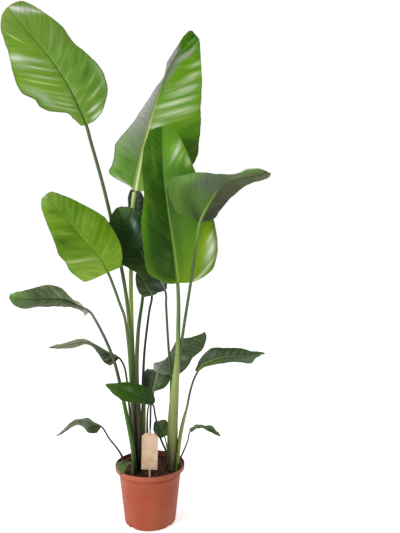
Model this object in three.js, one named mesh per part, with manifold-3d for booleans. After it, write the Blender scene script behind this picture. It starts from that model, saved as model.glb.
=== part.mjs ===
// A potted white bird of paradise, in millimetres, +Z up, with the pot's axis at floor level as origin.
// Eighteen leaves stand in plain holes in the soil plug. Each leaf is one piece: stalk, midrib and blade.
import * as THREE from "three";
import { mergeVertices } from "three/addons/utils/BufferGeometryUtils.js";
import Module from "manifold-3d";

const wasm = await Module();
wasm.setup();

// Pot: a moulded nursery pot with a rim band, a flat boss and a notched foot ring
const POT_HEIGHT = 200;
const RIM_RADIUS = 120;
const RIM_BAND = 15;
const BODY_TOP_RADIUS = 108.5;
const BODY_FOOT_RADIUS = 88.5;
const POT_WALL = 2.4;
const FOOT_CORNER = 6;
const FOOT_WIDTH = 12;
const FOOT_LIFT = 5;
const BOSS_RADIUS = 28;
const FLOOR_TOP = 8;
const POT_SIDES = 32;
const DRAIN_HOLES = 6;
const DRAIN_SIDES = 8;
const DRAIN_RADIUS = 5;
const DRAIN_CIRCLE = 48;
const FOOT_NOTCHES = 4;
const NOTCH_WIDTH = 12;

// Soil plug, a finger below the rim, and the gap between pieces that touch
const SOIL_TOP = 180;
const SOIL_CROWN = 3;
const GAP = 0.4;
const HOLE_GAP = 0.8;
const ROOT_DEPTH = 30;
const COLLAR = 10;

// Tag: a thin board with clipped corners on a flat stick
const TAG_WIDTH = 54;
const TAG_HEIGHT = 124;
const TAG_THICKNESS = 1.6;
const TAG_CLIP = 11;
const TAG_EYE = 2.5;
const TAG_BOTTOM = 208;
const TAG_CENTRE = [4, -74];
const TAG_LEAN = 1.5;
const STICK_WIDTH = 7;
const STICK_THICKNESS = 2.4;
const STICK_TOP = 346;

// Leaves: blade thickness, the midrib's largest share of a half width, and mesh steps
const BLADE_THICKNESS = 0.9;
const TIP_HALF_WIDTH = 1.5;
const TIP_RIB = 1;
const RIB_SHARE = 0.2;
const SPAN_STEPS = 24;
const HEADING_STEP = 3;
const LARGE = { stations: 17, columns: [0.36, 0.7, 1], sides: 8, stalkSteps: 10 };
const SMALL = { stations: 11, columns: [0.55, 1], sides: 6, stalkSteps: 7 };

const POT_COLOUR = 0xb5583f;
const SOIL_COLOUR = 0x2a1c16;
const TAG_COLOUR = 0xd9b48c;
const STICK_COLOUR = 0xe8d9b8;

// Each leaf, seen with its tip up and its upper face in front:
// root   where the stalk leaves the soil, [x, y]
// stalk  points on the way up, the last one at the foot of the blade
// rib    points on the midrib beyond that, the last one at the tip
// faces  where the upper side looks at the root, at the foot of the blade and at the tip
// left, right   half widths from the foot to the tip, closer together at both ends
// fold   how far the left and the right half rise from flat, [at the foot, at the tip] in degrees
// wave   height of the margin's waves, and how many there are
// sheath half width and half depth at the soil, how far it wraps back, how much it swells on its way
//        up, and the share of the stalk that it reaches
// stem   radius of the stalk above its sheath and at the blade
const LEAVES = [
  {
    name: "leaf_top_left",
    colour: 0x6f9c3a,
    size: LARGE,
    root: [-60, 8],
    stalk: [
      [-61, 5, 420],
      [-66, 6, 630],
      [-78, 12, 760],
      [-97, 20, 875],
      [-131, 26, 1040],
      [-161, 6, 1180],
      [-193, -20, 1310],
      [-205, -30, 1360],
    ],
    rib: [
      [-260, -20, 1480],
      [-340, 0, 1600],
      [-410, -5, 1685],
      [-455, -40, 1740],
    ],
    faces: [[1, 0, 0], [0.1, -1, 0.1], [0.2, -1, 0.4]],
    left: [16, 20, 32, 92, 124, 152, 134, 111, 91, 79, 44],
    right: [42, 54, 84, 115, 125, 112, 97, 95, 85, 68, 45],
    fold: [[12, 5], [12, 5]],
    wave: [5, 2.5],
    sheath: [8, 7, 0, 0, 0.35],
    stem: [6, 4.5],
  },
  {
    name: "leaf_top_centre",
    colour: 0x5f9428,
    size: LARGE,
    root: [-40, 22],
    stalk: [
      [-46, 24, 300],
      [-56, 27, 430],
      [-62, 29, 560],
      [-67, 36, 735],
      [-68, 45, 875],
      [-63, 58, 1080],
      [-55, 60, 1150],
    ],
    rib: [
      [-30, 45, 1270],
      [5, 30, 1395],
      [40, 25, 1495],
      [90, 25, 1600],
      [155, 20, 1675],
    ],
    faces: [[1, 0, 0], [0.3, -0.95, 0.1], [0.7, -0.7, 0.1]],
    left: [6, 14, 104, 101, 92, 59, 27, 9, 21, 29, 28],
    right: [35, 47, 113, 165, 187, 175, 156, 131, 103, 66, 30],
    fold: [[8, 42], [25, 35]],
    wave: [4, 2],
    sheath: [9, 8, 0, 0, 0.4],
    stem: [8, 7],
  },
  {
    name: "leaf_mid_left",
    colour: 0x76a838,
    size: LARGE,
    root: [-52, -24],
    stalk: [
      [-58, -22, 400],
      [-63, -20, 500],
      [-70, -22, 620],
      [-82, -32, 720],
      [-95, -40, 760],
      [-110, -52, 810],
      [-130, -70, 870],
    ],
    rib: [
      [-160, -80, 930],
      [-210, -85, 985],
      [-270, -90, 1060],
      [-325, -110, 1120],
    ],
    faces: [[1, 0, 0], [0.1, -1, 0.1], [0, -1, 0.3]],
    left: [74, 79, 96, 104, 94, 76, 60, 42, 21],
    right: [48, 54, 73, 89, 96, 82, 57, 42, 28],
    fold: [[10, 5], [10, 5]],
    wave: [4, 2],
    sheath: [8, 6, 0, 0, 0.5],
    stem: [5, 4],
  },
  {
    name: "leaf_centre_front",
    colour: 0x55861f,
    size: LARGE,
    root: [76, -18],
    stalk: [
      [79, -18, 330],
      [87, -20, 455],
      [98, -24, 600],
      [101, -36, 705],
      [102, -52, 775],
      [100, -70, 835],
    ],
    rib: [
      [90, -85, 935],
      [70, -90, 1075],
      [55, -90, 1205],
      [50, -75, 1345],
    ],
    faces: [[0, -1, 0], [0.05, -1, 0.1], [0, -1, 0.1]],
    left: [26, 49, 97, 101, 95, 72, 69, 58, 34],
    right: [59, 85, 129, 146, 141, 121, 96, 70, 42],
    fold: [[20, 14], [14, 12]],
    wave: [3, 2],
    sheath: [14, 5, 9, 6, 0.6],
    stem: [8, 6],
  },
  {
    name: "leaf_right_underside",
    colour: 0x4f6b3c,
    size: LARGE,
    root: [88, 4],
    stalk: [
      [92, 4, 420],
      [102, 2, 560],
      [118, -40, 675],
      [141, -110, 820],
      [155, -150, 910],
      [165, -180, 980],
      [175, -195, 1035],
    ],
    rib: [
      [200, -205, 1085],
      [235, -207, 1135],
      [270, -205, 1155],
      [330, -200, 1170],
      [390, -195, 1180],
    ],
    faces: [[0, 1, 0], [0, 1, 0], [0, 1, 0.1]],
    left: [27, 46, 62, 69, 73, 62, 28, 19, 7],
    right: [82, 90, 124, 131, 60, 22, 21, 14, 6],
    fold: [[55, 50], [4, 8]],
    wave: [3, 1.5],
    sheath: [8, 7, 0, 0, 0.4],
    stem: [5.5, 4.5],
  },
  {
    name: "leaf_centre_back",
    colour: 0x2f5526,
    size: LARGE,
    root: [70, 8],
    stalk: [
      [72, 8, 420],
      [74, 4, 500],
      [66, -2, 600],
      [58, -8, 750],
      [55, -15, 805],
    ],
    rib: [
      [-20, 5, 920],
      [-65, 15, 985],
      [-108, 10, 1088],
    ],
    faces: [[1, 0, 0], [0.1, -1, 0.1], [0, -1, 0.3]],
    left: [13, 21, 44, 63, 76, 57, 34],
    right: [12, 22, 50, 68, 76, 66, 46],
    fold: [[15, 10], [15, 10]],
    wave: [3, 2],
    sheath: [7, 7, 0, 0, 0.4],
    stem: [4.5, 4],
  },
  {
    name: "leaf_far_back",
    colour: 0x2c4a2c,
    size: LARGE,
    root: [-36, -14],
    stalk: [
      [-42, -10, 412],
      [-46, 4, 509],
      [-41, 25, 663],
      [-31, 70, 763],
      [-27, 82, 820],
      [-25, 85, 860],
    ],
    rib: [
      [-35, 95, 960],
      [-50, 100, 1065],
      [-55, 95, 1160],
    ],
    faces: [[0, -1, 0], [0.1, -1, 0.1], [0, -1, 0.1]],
    left: [6, 20, 36, 39, 36, 28],
    right: [8, 16, 34, 41, 36, 22],
    fold: [[15, 10], [15, 10]],
    wave: [3, 2],
    sheath: [16, 5, 7, 0, 0.6],
    stem: [7, 5],
  },
  {
    name: "leaf_low_back",
    colour: 0x2b4d22,
    size: SMALL,
    root: [-26, 4],
    stalk: [
      [-23, 10, 400],
      [-24, 14, 489],
      [-20, 20, 584],
      [-11, 28, 670],
      [-3, 36, 732],
      [5, 40, 782],
    ],
    rib: [
      [-15, 40, 815],
      [-25, 45, 850],
      [-20, 45, 900],
    ],
    faces: [[0, -1, 0], [0.1, -1, 0.1], [0, -1, 0.1]],
    left: [4, 18, 30, 26, 14],
    right: [4, 30, 40, 36, 16],
    fold: [[15, 10], [15, 10]],
    wave: [2, 1.5],
    sheath: [8, 6, 0, 2, 0.6],
    stem: [3.5, 3],
  },
  {
    name: "leaf_left_drooping",
    colour: 0x3f5a38,
    size: LARGE,
    root: [-52, -40],
    stalk: [
      [-57, -40, 250],
      [-66, -38, 314],
      [-76, -34, 377],
      [-88, -30, 433],
      [-102, -28, 500],
      [-120, -28, 570],
      [-145, -29, 635],
      [-180, -30, 705],
      [-200, -30, 735],
    ],
    rib: [
      [-235, -35, 755],
      [-275, -45, 775],
      [-335, -55, 780],
      [-395, -60, 780],
      [-460, -60, 790],
    ],
    faces: [[1, 0, 0], [0.1, -1, 0.5], [0, -1, 0.6]],
    left: [14, 12, 6, 15, 32, 37, 34, 30, 14],
    right: [4, 4, 5, 14, 38, 43, 36, 26, 14],
    fold: [[20, 10], [30, 25]],
    wave: [3, 2.5],
    sheath: [8, 6, 0, 3, 0.5],
    stem: [5, 3.5],
  },
  {
    name: "leaf_left_twisted",
    colour: 0x4c5f36,
    size: SMALL,
    root: [-58, -8],
    stalk: [
      [-60, -8, 250],
      [-66, -8, 340],
      [-73, -6, 431],
      [-81, -4, 510],
      [-89, -3, 545],
      [-105, -2, 570],
    ],
    rib: [
      [-135, -4, 585],
      [-164, -8, 603],
      [-190, -14, 620],
      [-220, -20, 630],
      [-255, -26, 625],
      [-295, -32, 615],
      [-338, -35, 613],
    ],
    faces: [[1, 0, 0], [0.2, -1, 0.5], [0.2, -1, 0.6]],
    left: [11, 24, 32, 13, 7, 14, 8, 4],
    right: [4, 4, 7, 7, 7, 11, 6, 3],
    fold: [[10, 10], [20, 10]],
    wave: [2, 1.5],
    sheath: [4, 4, 0, 0, 0.4],
    stem: [3.5, 2.5],
  },
  {
    name: "leaf_small_left",
    colour: 0x3f6a2c,
    size: SMALL,
    root: [-92, 4],
    stalk: [
      [-101, 5, 226],
      [-119, 6, 254],
      [-142, 8, 282],
      [-170, 10, 325],
    ],
    rib: [
      [-190, 5, 335],
      [-215, 0, 347],
      [-240, -5, 347],
      [-260, -10, 341],
      [-282, -15, 325],
      [-300, -18, 314],
      [-320, -20, 303],
    ],
    faces: [[1, 0, 0.3], [0.2, -1, 0.5], [0.2, -1, 0.6]],
    left: [8, 20, 33, 30, 10, 6, 6, 3],
    right: [3, 4, 7, 9, 7, 7, 5, 3],
    fold: [[10, 10], [10, 10]],
    wave: [2, 1.5],
    sheath: [5, 5, 0, 0, 0.4],
    stem: [2.2, 1.8],
  },
  {
    name: "leaf_small_green",
    colour: 0x2f6a1e,
    size: SMALL,
    root: [60, -26],
    stalk: [
      [58, -27, 250],
      [47, -30, 278],
      [37, -35, 306],
      [28, -44, 355],
      [22, -52, 388],
      [15, -60, 425],
    ],
    rib: [
      [-30, -80, 455],
      [-75, -95, 480],
      [-135, -110, 505],
    ],
    faces: [[1, 0, 0.3], [0.1, -1, 0.6], [0.1, -1, 0.6]],
    left: [4, 8, 15, 24, 28, 19, 8],
    right: [13, 24, 39, 41, 33, 17, 7],
    fold: [[10, 10], [10, 10]],
    wave: [2, 1],
    sheath: [4.5, 4.5, 0, 0, 0.4],
    stem: [3, 2.4],
  },
  {
    name: "leaf_small_right",
    colour: 0x3c6230,
    size: SMALL,
    root: [90, 26],
    stalk: [
      [105, 18, 212],
      [118, 10, 241],
      [131, 2, 277],
      [140, -5, 315],
    ],
    rib: [
      [160, -10, 330],
      [190, -10, 330],
      [220, -10, 320],
      [245, -15, 300],
    ],
    faces: [[-1, 0, 0.3], [-0.1, -1, 0.5], [-0.2, -1, 0.6]],
    left: [4, 9, 10, 10, 6],
    right: [4, 9, 9, 9, 5],
    fold: [[10, 10], [10, 10]],
    wave: [2, 1.5],
    sheath: [4, 4, 0, 0, 0.4],
    stem: [2.2, 1.8],
  },
  {
    name: "leaf_right_reaching",
    colour: 0x3f6f2b,
    size: LARGE,
    root: [95, -10],
    stalk: [
      [101, -8, 265],
      [109, -4, 317],
      [118, 2, 357],
      [128, 7, 392],
      [139, 12, 446],
      [152, 16, 489],
      [165, 20, 515],
    ],
    rib: [
      [185, 15, 545],
      [215, 5, 560],
      [265, -5, 575],
      [330, -15, 580],
      [395, -25, 590],
    ],
    faces: [[-1, 0, 0.2], [-0.2, -1, 0.6], [-0.1, -1, 0.8]],
    left: [4, 9, 19, 38, 31, 25, 13, 5],
    right: [4, 8, 13, 22, 28, 32, 28, 8],
    fold: [[15, 15], [30, 30]],
    wave: [2, 2],
    sheath: [4, 5, 0, 4, 0.7],
    stem: [4, 3],
  },
  {
    name: "leaf_right_raised",
    colour: 0x33502f,
    size: SMALL,
    root: [2, -2],
    stalk: [
      [1, -2, 307],
      [2, -2, 353],
      [4, -2, 406],
      [12, -2, 455],
      [22, -1, 493],
      [28, 3, 517],
    ],
    rib: [
      [48, 28, 544],
      [66, 48, 560],
      [103, 62, 586],
      [145, 72, 614],
      [192, 80, 646],
    ],
    faces: [[-1, 0, 0], [0, -1, 0], [-0.3, -1, 0.1]],
    left: [12, 20, 12, 17, 28, 18, 8],
    right: [14, 30, 62, 74, 50, 46, 25],
    fold: [[15, 15], [0, 10]],
    wave: [2, 1.5],
    sheath: [4.5, 4.5, 0, 0, 0.4],
    stem: [3, 2.6],
  },
  {
    name: "leaf_half_grey",
    colour: 0x30502c,
    size: SMALL,
    root: [-11, 14],
    stalk: [
      [-11, 14, 301],
      [-10, 16, 365],
      [-5, 20, 399],
      [9, 26, 427],
    ],
    rib: [
      [14, 30, 457],
      [21, 36, 484],
      [26, 48, 504],
      [34, 75, 505],
      [40, 105, 488],
    ],
    faces: [[-1, 0, 0], [0, -1, 0.4], [0, 0.3, 1]],
    left: [16, 22, 42, 49, 46, 34, 17],
    right: [4, 6, 28, 46, 46, 35, 18],
    fold: [[10, 10], [4, 4]],
    wave: [2, 1],
    sheath: [9, 5, 0, 0, 0.75],
    stem: [3, 2.6],
  },
  {
    name: "leaf_round_low",
    colour: 0x2c5426,
    size: SMALL,
    root: [68, 26],
    stalk: [
      [65, 24, 212],
      [58, 15, 252],
      [50, 10, 290],
    ],
    rib: [
      [40, 5, 310],
      [30, 0, 335],
      [20, 0, 350],
    ],
    faces: [[1, 0, 0], [0, -1, 0.4], [0, -1, 0.5]],
    left: [10, 17, 24, 24, 14],
    right: [10, 17, 26, 30, 13],
    fold: [[10, 10], [10, 10]],
    wave: [1, 1],
    sheath: [4.5, 4.5, 0, 0, 0.4],
    stem: [2.6, 2.2],
  },
  {
    name: "leaf_over_rim",
    colour: 0x4a7a3a,
    size: SMALL,
    root: [-54, -56],
    stalk: [
      [-55, -58, 215],
      [-64, -64, 229],
    ],
    rib: [
      [-73, -72, 231],
      [-80, -84, 233],
      [-86, -102, 231],
      [-87, -116, 221],
      [-84, -122, 210],
    ],
    faces: [[1, 1, 0], [0.2, -0.6, 0.8], [0.1, -1, 0.3]],
    left: [6, 12, 18, 18, 14],
    right: [4, 7, 10, 13, 9],
    fold: [[0, 0], [0, 0]],
    wave: [1, 1],
    sheath: [4, 4, 0, 0, 0.4],
    stem: [2.4, 2],
  },
];

const lerp = THREE.MathUtils.lerp;
const smooth = (t) => THREE.MathUtils.smoothstep(t, 0, 1);
const vector = (xyz) => new THREE.Vector3(...xyz);

// Solids for cutting and joining

function toSolid(geometry) {
  const bare = geometry.clone();
  bare.deleteAttribute("normal");
  bare.deleteAttribute("uv");
  const merged = mergeVertices(bare, 1e-4);
  return new wasm.Manifold(
    new wasm.Mesh({
      numProp: 3,
      vertProperties: merged.attributes.position.array,
      triVerts: new Uint32Array(merged.index.array),
    }),
  );
}

function toGeometry(solid) {
  const mesh = solid.getMesh();
  const geometry = new THREE.BufferGeometry();
  geometry.setAttribute("position", new THREE.BufferAttribute(mesh.vertProperties, 3));
  geometry.setIndex(new THREE.BufferAttribute(mesh.triVerts, 1));
  geometry.computeVertexNormals();
  return geometry;
}

function cut(body, tools) {
  return toGeometry(tools.reduce((rest, tool) => rest.subtract(toSolid(tool)), toSolid(body)));
}

function turnedOnZ(points) {
  const profile = points.map(([r, z]) => new THREE.Vector2(r, z));
  return new THREE.LatheGeometry(profile, POT_SIDES).rotateX(Math.PI / 2);
}

function mesh(name, geometry, colour, roughness) {
  const material = new THREE.MeshStandardMaterial({ color: colour, roughness, metalness: 0 });
  const made = new THREE.Mesh(geometry, material);
  made.name = name;
  return made;
}

// Pot and soil

const rimBottom = POT_HEIGHT - RIM_BAND;
const innerTop = BODY_TOP_RADIUS - POT_WALL;
const innerFoot = BODY_FOOT_RADIUS - POT_WALL;

function footCorner() {
  const middle = [BODY_FOOT_RADIUS - FOOT_CORNER, FOOT_CORNER];
  return [-90, -45, 0].map((degrees) => {
    const angle = THREE.MathUtils.degToRad(degrees);
    return [middle[0] + FOOT_CORNER * Math.cos(angle), middle[1] + FOOT_CORNER * Math.sin(angle)];
  });
}

function potProfile() {
  const footInside = BODY_FOOT_RADIUS - FOOT_CORNER - FOOT_WIDTH;
  return [
    [0, 0],
    [BOSS_RADIUS, 0],
    [BOSS_RADIUS + 2, FOOT_LIFT],
    [footInside - 2, FOOT_LIFT],
    [footInside, 0],
    ...footCorner(),
    [BODY_TOP_RADIUS, rimBottom - 1],
    [RIM_RADIUS, rimBottom],
    [RIM_RADIUS, POT_HEIGHT],
    [RIM_RADIUS - POT_WALL, POT_HEIGHT],
    [RIM_RADIUS - POT_WALL, rimBottom + POT_WALL],
    [innerTop, rimBottom - POT_WALL],
    [innerFoot, FLOOR_TOP],
    [0, FLOOR_TOP],
  ];
}

function pot() {
  const tools = [];
  for (let i = 0; i < DRAIN_HOLES; i += 1) {
    const angle = ((i + 0.5) / DRAIN_HOLES) * 2 * Math.PI;
    const hole = new THREE.CylinderGeometry(DRAIN_RADIUS, DRAIN_RADIUS, 4 * FLOOR_TOP, DRAIN_SIDES);
    hole.rotateX(Math.PI / 2);
    hole.translate(DRAIN_CIRCLE * Math.cos(angle), DRAIN_CIRCLE * Math.sin(angle), 0);
    tools.push(hole);
  }
  for (let i = 0; i < FOOT_NOTCHES; i += 1) {
    const notch = new THREE.BoxGeometry(2 * FOOT_WIDTH + 12, NOTCH_WIDTH, 2 * FOOT_LIFT - 2);
    notch.translate(BODY_FOOT_RADIUS - FOOT_WIDTH, 0, 0);
    notch.rotateZ(((i + 0.4) / FOOT_NOTCHES) * 2 * Math.PI);
    tools.push(notch);
  }
  return mesh("pot", cut(turnedOnZ(potProfile()), tools), POT_COLOUR, 0.55);
}

function soil(holes) {
  const slope = (innerTop - innerFoot) / (rimBottom - POT_WALL - FLOOR_TOP);
  const foot = FLOOR_TOP + GAP;
  const wallAt = (z) => innerFoot + (z - FLOOR_TOP) * slope - GAP;
  const profile = [
    [0, foot],
    [wallAt(foot), foot],
    [wallAt(SOIL_TOP), SOIL_TOP],
    [70, SOIL_TOP + SOIL_CROWN / 2],
    [30, SOIL_TOP + SOIL_CROWN],
    [0, SOIL_TOP + SOIL_CROWN],
  ];
  return mesh("soil", cut(turnedOnZ(profile), holes), SOIL_COLOUR, 0.95);
}

// Tag and stick

function tag() {
  const half = TAG_WIDTH / 2;
  const outline = new THREE.Shape();
  outline.moveTo(-half, 0);
  outline.lineTo(half, 0);
  outline.lineTo(half, TAG_HEIGHT - TAG_CLIP);
  outline.lineTo(half - TAG_CLIP, TAG_HEIGHT);
  outline.lineTo(TAG_CLIP - half, TAG_HEIGHT);
  outline.lineTo(-half, TAG_HEIGHT - TAG_CLIP);
  const eye = new THREE.Path();
  eye.absarc(0, TAG_HEIGHT - 3 * TAG_EYE, TAG_EYE, 0, 2 * Math.PI, true);
  outline.holes.push(eye);
  const geometry = new THREE.ExtrudeGeometry(outline, {
    depth: TAG_THICKNESS,
    bevelEnabled: false,
    curveSegments: 10,
  });
  geometry.rotateX(Math.PI / 2);
  geometry.rotateY(THREE.MathUtils.degToRad(TAG_LEAN));
  geometry.translate(TAG_CENTRE[0], TAG_CENTRE[1], TAG_BOTTOM);
  return mesh("tag", geometry, TAG_COLOUR, 0.8);
}

function stickBox(margin) {
  const foot = SOIL_TOP - ROOT_DEPTH - margin;
  const box = new THREE.BoxGeometry(
    STICK_WIDTH + 2 * margin,
    STICK_THICKNESS + 2 * margin,
    STICK_TOP - foot,
  );
  const y = TAG_CENTRE[1] + STICK_THICKNESS / 2 + GAP;
  return box.translate(TAG_CENTRE[0] + 1, y, (STICK_TOP + foot) / 2);
}

// Leaves

// The line from the soil through the stalk and the midrib to the tip, measured in millimetres along it
class Spine {
  constructor(leaf) {
    const [x, y] = leaf.root;
    const start = [x, y, SOIL_TOP + COLLAR];
    const below = [x, y, SOIL_TOP - ROOT_DEPTH];
    const points = [below, start, ...leaf.stalk, ...leaf.rib].map(vector);
    const curve = new THREE.CatmullRomCurve3(points, false, "centripetal");
    const steps = SPAN_STEPS * (points.length - 1);
    this.points = curve.getPoints(steps);
    this.lengths = [0];
    for (let i = 1; i <= steps; i += 1) {
      this.lengths.push(this.lengths[i - 1] + this.points[i].distanceTo(this.points[i - 1]));
    }
    this.start = this.lengths[SPAN_STEPS];
    this.foot = this.lengths[SPAN_STEPS * (1 + leaf.stalk.length)];
    this.end = this.lengths[steps];
  }

  at(length) {
    let i = this.lengths.findIndex((l) => l > length);
    if (i < 0) i = this.lengths.length - 1;
    const before = this.lengths[i - 1];
    const share = (length - before) / (this.lengths[i] - before);
    return this.points[i - 1].clone().lerp(this.points[i], share);
  }

  heading(length) {
    const ahead = this.at(Math.min(length + HEADING_STEP, this.end));
    return ahead.sub(this.at(Math.max(length - HEADING_STEP, 0))).normalize();
  }
}

// Along, side and up directions at a length on the spine, up being where the upper face looks
function frameAt(leaf, spine, length) {
  const [root, foot, tip] = leaf.faces.map((face) => vector(face).normalize());
  const along = spine.heading(length);
  const up =
    length < spine.foot
      ? root.lerp(foot, smooth((length - spine.start) / (spine.foot - spine.start)))
      : foot.lerp(tip, (length - spine.foot) / (spine.end - spine.foot));
  const side = new THREE.Vector3().crossVectors(along, up).normalize();
  return { along, side, up: new THREE.Vector3().crossVectors(side, along) };
}

// A ring of points around the stalk: an ellipse whose two ends bend back by wrap
function stalkRing(centre, frame, halfWidth, halfDepth, wrap, sides) {
  const ring = [];
  for (let i = 0; i < sides; i += 1) {
    const angle = Math.PI - (2 * Math.PI * (i + 0.5)) / sides;
    const across = halfWidth * Math.cos(angle);
    const out = halfDepth * Math.sin(angle) - wrap * Math.cos(angle) ** 2;
    ring.push(centre.clone().addScaledVector(frame.side, across).addScaledVector(frame.up, out));
  }
  return ring;
}

// Half width of one side at a share of the blade's length; the listed ones are at even angles
function halfWidth(widths, angle) {
  const last = widths.length;
  const place = (angle / Math.PI) * last;
  const i = Math.min(Math.floor(place), last - 1);
  const value = (k) => {
    if (k < 0) return 2 * widths[0] - widths[1];
    if (k > last) return -widths[last - 1];
    return k === last ? 0 : widths[k];
  };
  const t = place - i;
  const [a, b, c, d] = [i - 1, i, i + 1, i + 2].map(value);
  const bend = (2 * a - 5 * b + 4 * c - d) * t * t + (3 * b - a - 3 * c + d) * t * t * t;
  return Math.max(b + 0.5 * ((c - a) * t + bend), TIP_HALF_WIDTH);
}

// A ring of points around the blade: the upper face from left to right, then the lower one back
function bladeRing(leaf, spine, angle) {
  const share = (1 - Math.cos(angle)) / 2;
  const length = lerp(spine.foot, spine.end, share);
  const frame = frameAt(leaf, spine, length);
  const centre = spine.at(length);
  const ribRadius = lerp(leaf.stem[1], TIP_RIB, share);
  const upper = [];
  const lower = [];
  const place = (side, column) => {
    const half = halfWidth(side < 0 ? leaf.left : leaf.right, angle);
    const fold = THREE.MathUtils.degToRad(lerp(...leaf.fold[side < 0 ? 0 : 1], share));
    const w = column === 0 ? Math.min(ribRadius / half, RIB_SHARE) : column;
    const ripple = leaf.wave[0] * Math.sin(2 * Math.PI * leaf.wave[1] * share + side) * w * w;
    const across = side * half * w * Math.cos(fold);
    const level = half * w * Math.sin(fold) + ripple * Math.sin(angle);
    const point = centre.clone();
    point.addScaledVector(frame.side, across).addScaledVector(frame.up, level);
    const normal = frame.up.clone().multiplyScalar(Math.cos(fold));
    normal.addScaledVector(frame.side, -side * Math.sin(fold));
    upper.push(point.clone().addScaledVector(normal, BLADE_THICKNESS / 2));
    lower.push(point.clone().addScaledVector(normal, -BLADE_THICKNESS / 2));
  };
  const columns = leaf.size.columns;
  [...columns].reverse().forEach((column) => place(-1, column));
  place(-1, 0);
  upper.push(centre.clone().addScaledVector(frame.up, -BLADE_THICKNESS / 4));
  lower.push(centre.clone().addScaledVector(frame.up, -BLADE_THICKNESS / 2 - ribRadius));
  place(1, 0);
  columns.forEach((column) => place(1, column));
  return [...upper, ...lower.reverse()];
}

// Triangles between two rings of any sizes, by walking round both at once
function bridge(faces, startA, countA, startB, countB) {
  let a = 0;
  let b = 0;
  while (a < countA || b < countB) {
    const fromA = startA + (a % countA);
    const fromB = startB + (b % countB);
    if (b === countB || (a < countA && (a + 1.5) / countA < (b + 1.5) / countB)) {
      a += 1;
      faces.push(fromA, startA + (a % countA), fromB);
    } else {
      b += 1;
      faces.push(fromA, startB + (b % countB), fromB);
    }
  }
}

// Triangles between two blade rings, split alike on both faces
function bladeStrip(faces, startA, startB, count) {
  const columns = count / 2;
  const quad = (i, j, firstDiagonal) => {
    const [a, c] = [startA + i, startA + j];
    const [b, d] = [startB + i, startB + j];
    if (firstDiagonal) faces.push(a, c, d, a, d, b);
    else faces.push(a, c, b, c, d, b);
  };
  for (let i = 0; i < columns - 1; i += 1) {
    const left = i < (columns - 1) / 2;
    quad(i, i + 1, !left);
    quad(count - 2 - i, count - 1 - i, left);
  }
  quad(columns - 1, columns, true);
  quad(count - 1, 0, true);
}

function fan(faces, start, count, forward) {
  for (let i = 1; i < count - 1; i += 1) {
    if (forward) faces.push(start, start + i, start + i + 1);
    else faces.push(start, start + i + 1, start + i);
  }
}

function sheathAt(leaf, share) {
  const [width, depth, wrap, swell, reach] = leaf.sheath;
  const [middle, top] = leaf.stem;
  if (share > reach) {
    const radius = lerp(middle, top, (share - reach) / (1 - reach));
    return [radius, radius, 0];
  }
  const done = smooth(share / reach);
  const swollen = swell * Math.sin((Math.PI * share) / reach);
  return [lerp(width, middle, done) + swollen, lerp(depth, middle, done), lerp(wrap, 0, done)];
}

function leafGeometry(leaf) {
  const spine = new Spine(leaf);
  const { stations, columns, sides, stalkSteps } = leaf.size;
  const bladeCount = 2 * (2 * columns.length + 3);
  const rings = [];
  const upright = rootFrame(leaf);
  for (const z of [SOIL_TOP - ROOT_DEPTH, SOIL_TOP + COLLAR]) {
    const centre = vector([...leaf.root, z]);
    rings.push(stalkRing(centre, upright, ...sheathAt(leaf, 0), sides));
  }
  const neck = spine.foot - leaf.stem[1];
  for (let i = 1; i <= stalkSteps; i += 1) {
    const length = lerp(spine.start, neck, i / stalkSteps);
    const section = sheathAt(leaf, (length - spine.start) / (spine.foot - spine.start));
    const count = i === stalkSteps ? bladeCount : sides;
    rings.push(stalkRing(spine.at(length), frameAt(leaf, spine, length), ...section, count));
  }
  const firstBlade = rings.length;
  for (let i = 0; i <= stations; i += 1) {
    rings.push(bladeRing(leaf, spine, (Math.PI * i) / stations));
  }
  const faces = [];
  let start = 0;
  fan(faces, 0, rings[0].length, false);
  rings.forEach((ring, i) => {
    const next = rings[i + 1];
    if (!next) return;
    if (i < firstBlade) bridge(faces, start, ring.length, start + ring.length, next.length);
    else bladeStrip(faces, start, start + ring.length, ring.length);
    start += ring.length;
  });
  fan(faces, start, rings[rings.length - 1].length, true);
  const geometry = new THREE.BufferGeometry().setFromPoints(rings.flat());
  geometry.setIndex(faces);
  geometry.computeVertexNormals();
  return geometry;
}

function rootFrame(leaf) {
  const along = new THREE.Vector3(0, 0, 1);
  const face = vector(leaf.faces[0]);
  const side = new THREE.Vector3().crossVectors(along, face).normalize();
  return { along, side, up: new THREE.Vector3().crossVectors(side, along) };
}

// The plain hole in the soil that a stalk stands in
function stalkHole(leaf) {
  const [width, depth, wrap] = leaf.sheath;
  const sides = leaf.size.sides;
  const points = [];
  for (const z of [SOIL_TOP - ROOT_DEPTH - HOLE_GAP, SOIL_TOP + COLLAR]) {
    const centre = vector([...leaf.root, z]);
    const section = [width + HOLE_GAP, depth + HOLE_GAP, wrap, sides];
    points.push(...stalkRing(centre, rootFrame(leaf), ...section));
  }
  const faces = [];
  fan(faces, 0, sides, false);
  bridge(faces, 0, sides, sides, sides);
  fan(faces, sides, sides, true);
  return new THREE.BufferGeometry().setFromPoints(points).setIndex(faces);
}

const plant = new THREE.Group();
plant.add(pot());
plant.add(soil([...LEAVES.map(stalkHole), stickBox(HOLE_GAP)]));
plant.add(tag());
plant.add(mesh("tag_stick", stickBox(0), STICK_COLOUR, 0.7));
for (const leaf of LEAVES) {
  plant.add(mesh(leaf.name, leafGeometry(leaf), leaf.colour, 0.45));
}

export default plant;
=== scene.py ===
import math

import bpy
import numpy as np
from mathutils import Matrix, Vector, noise


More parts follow.
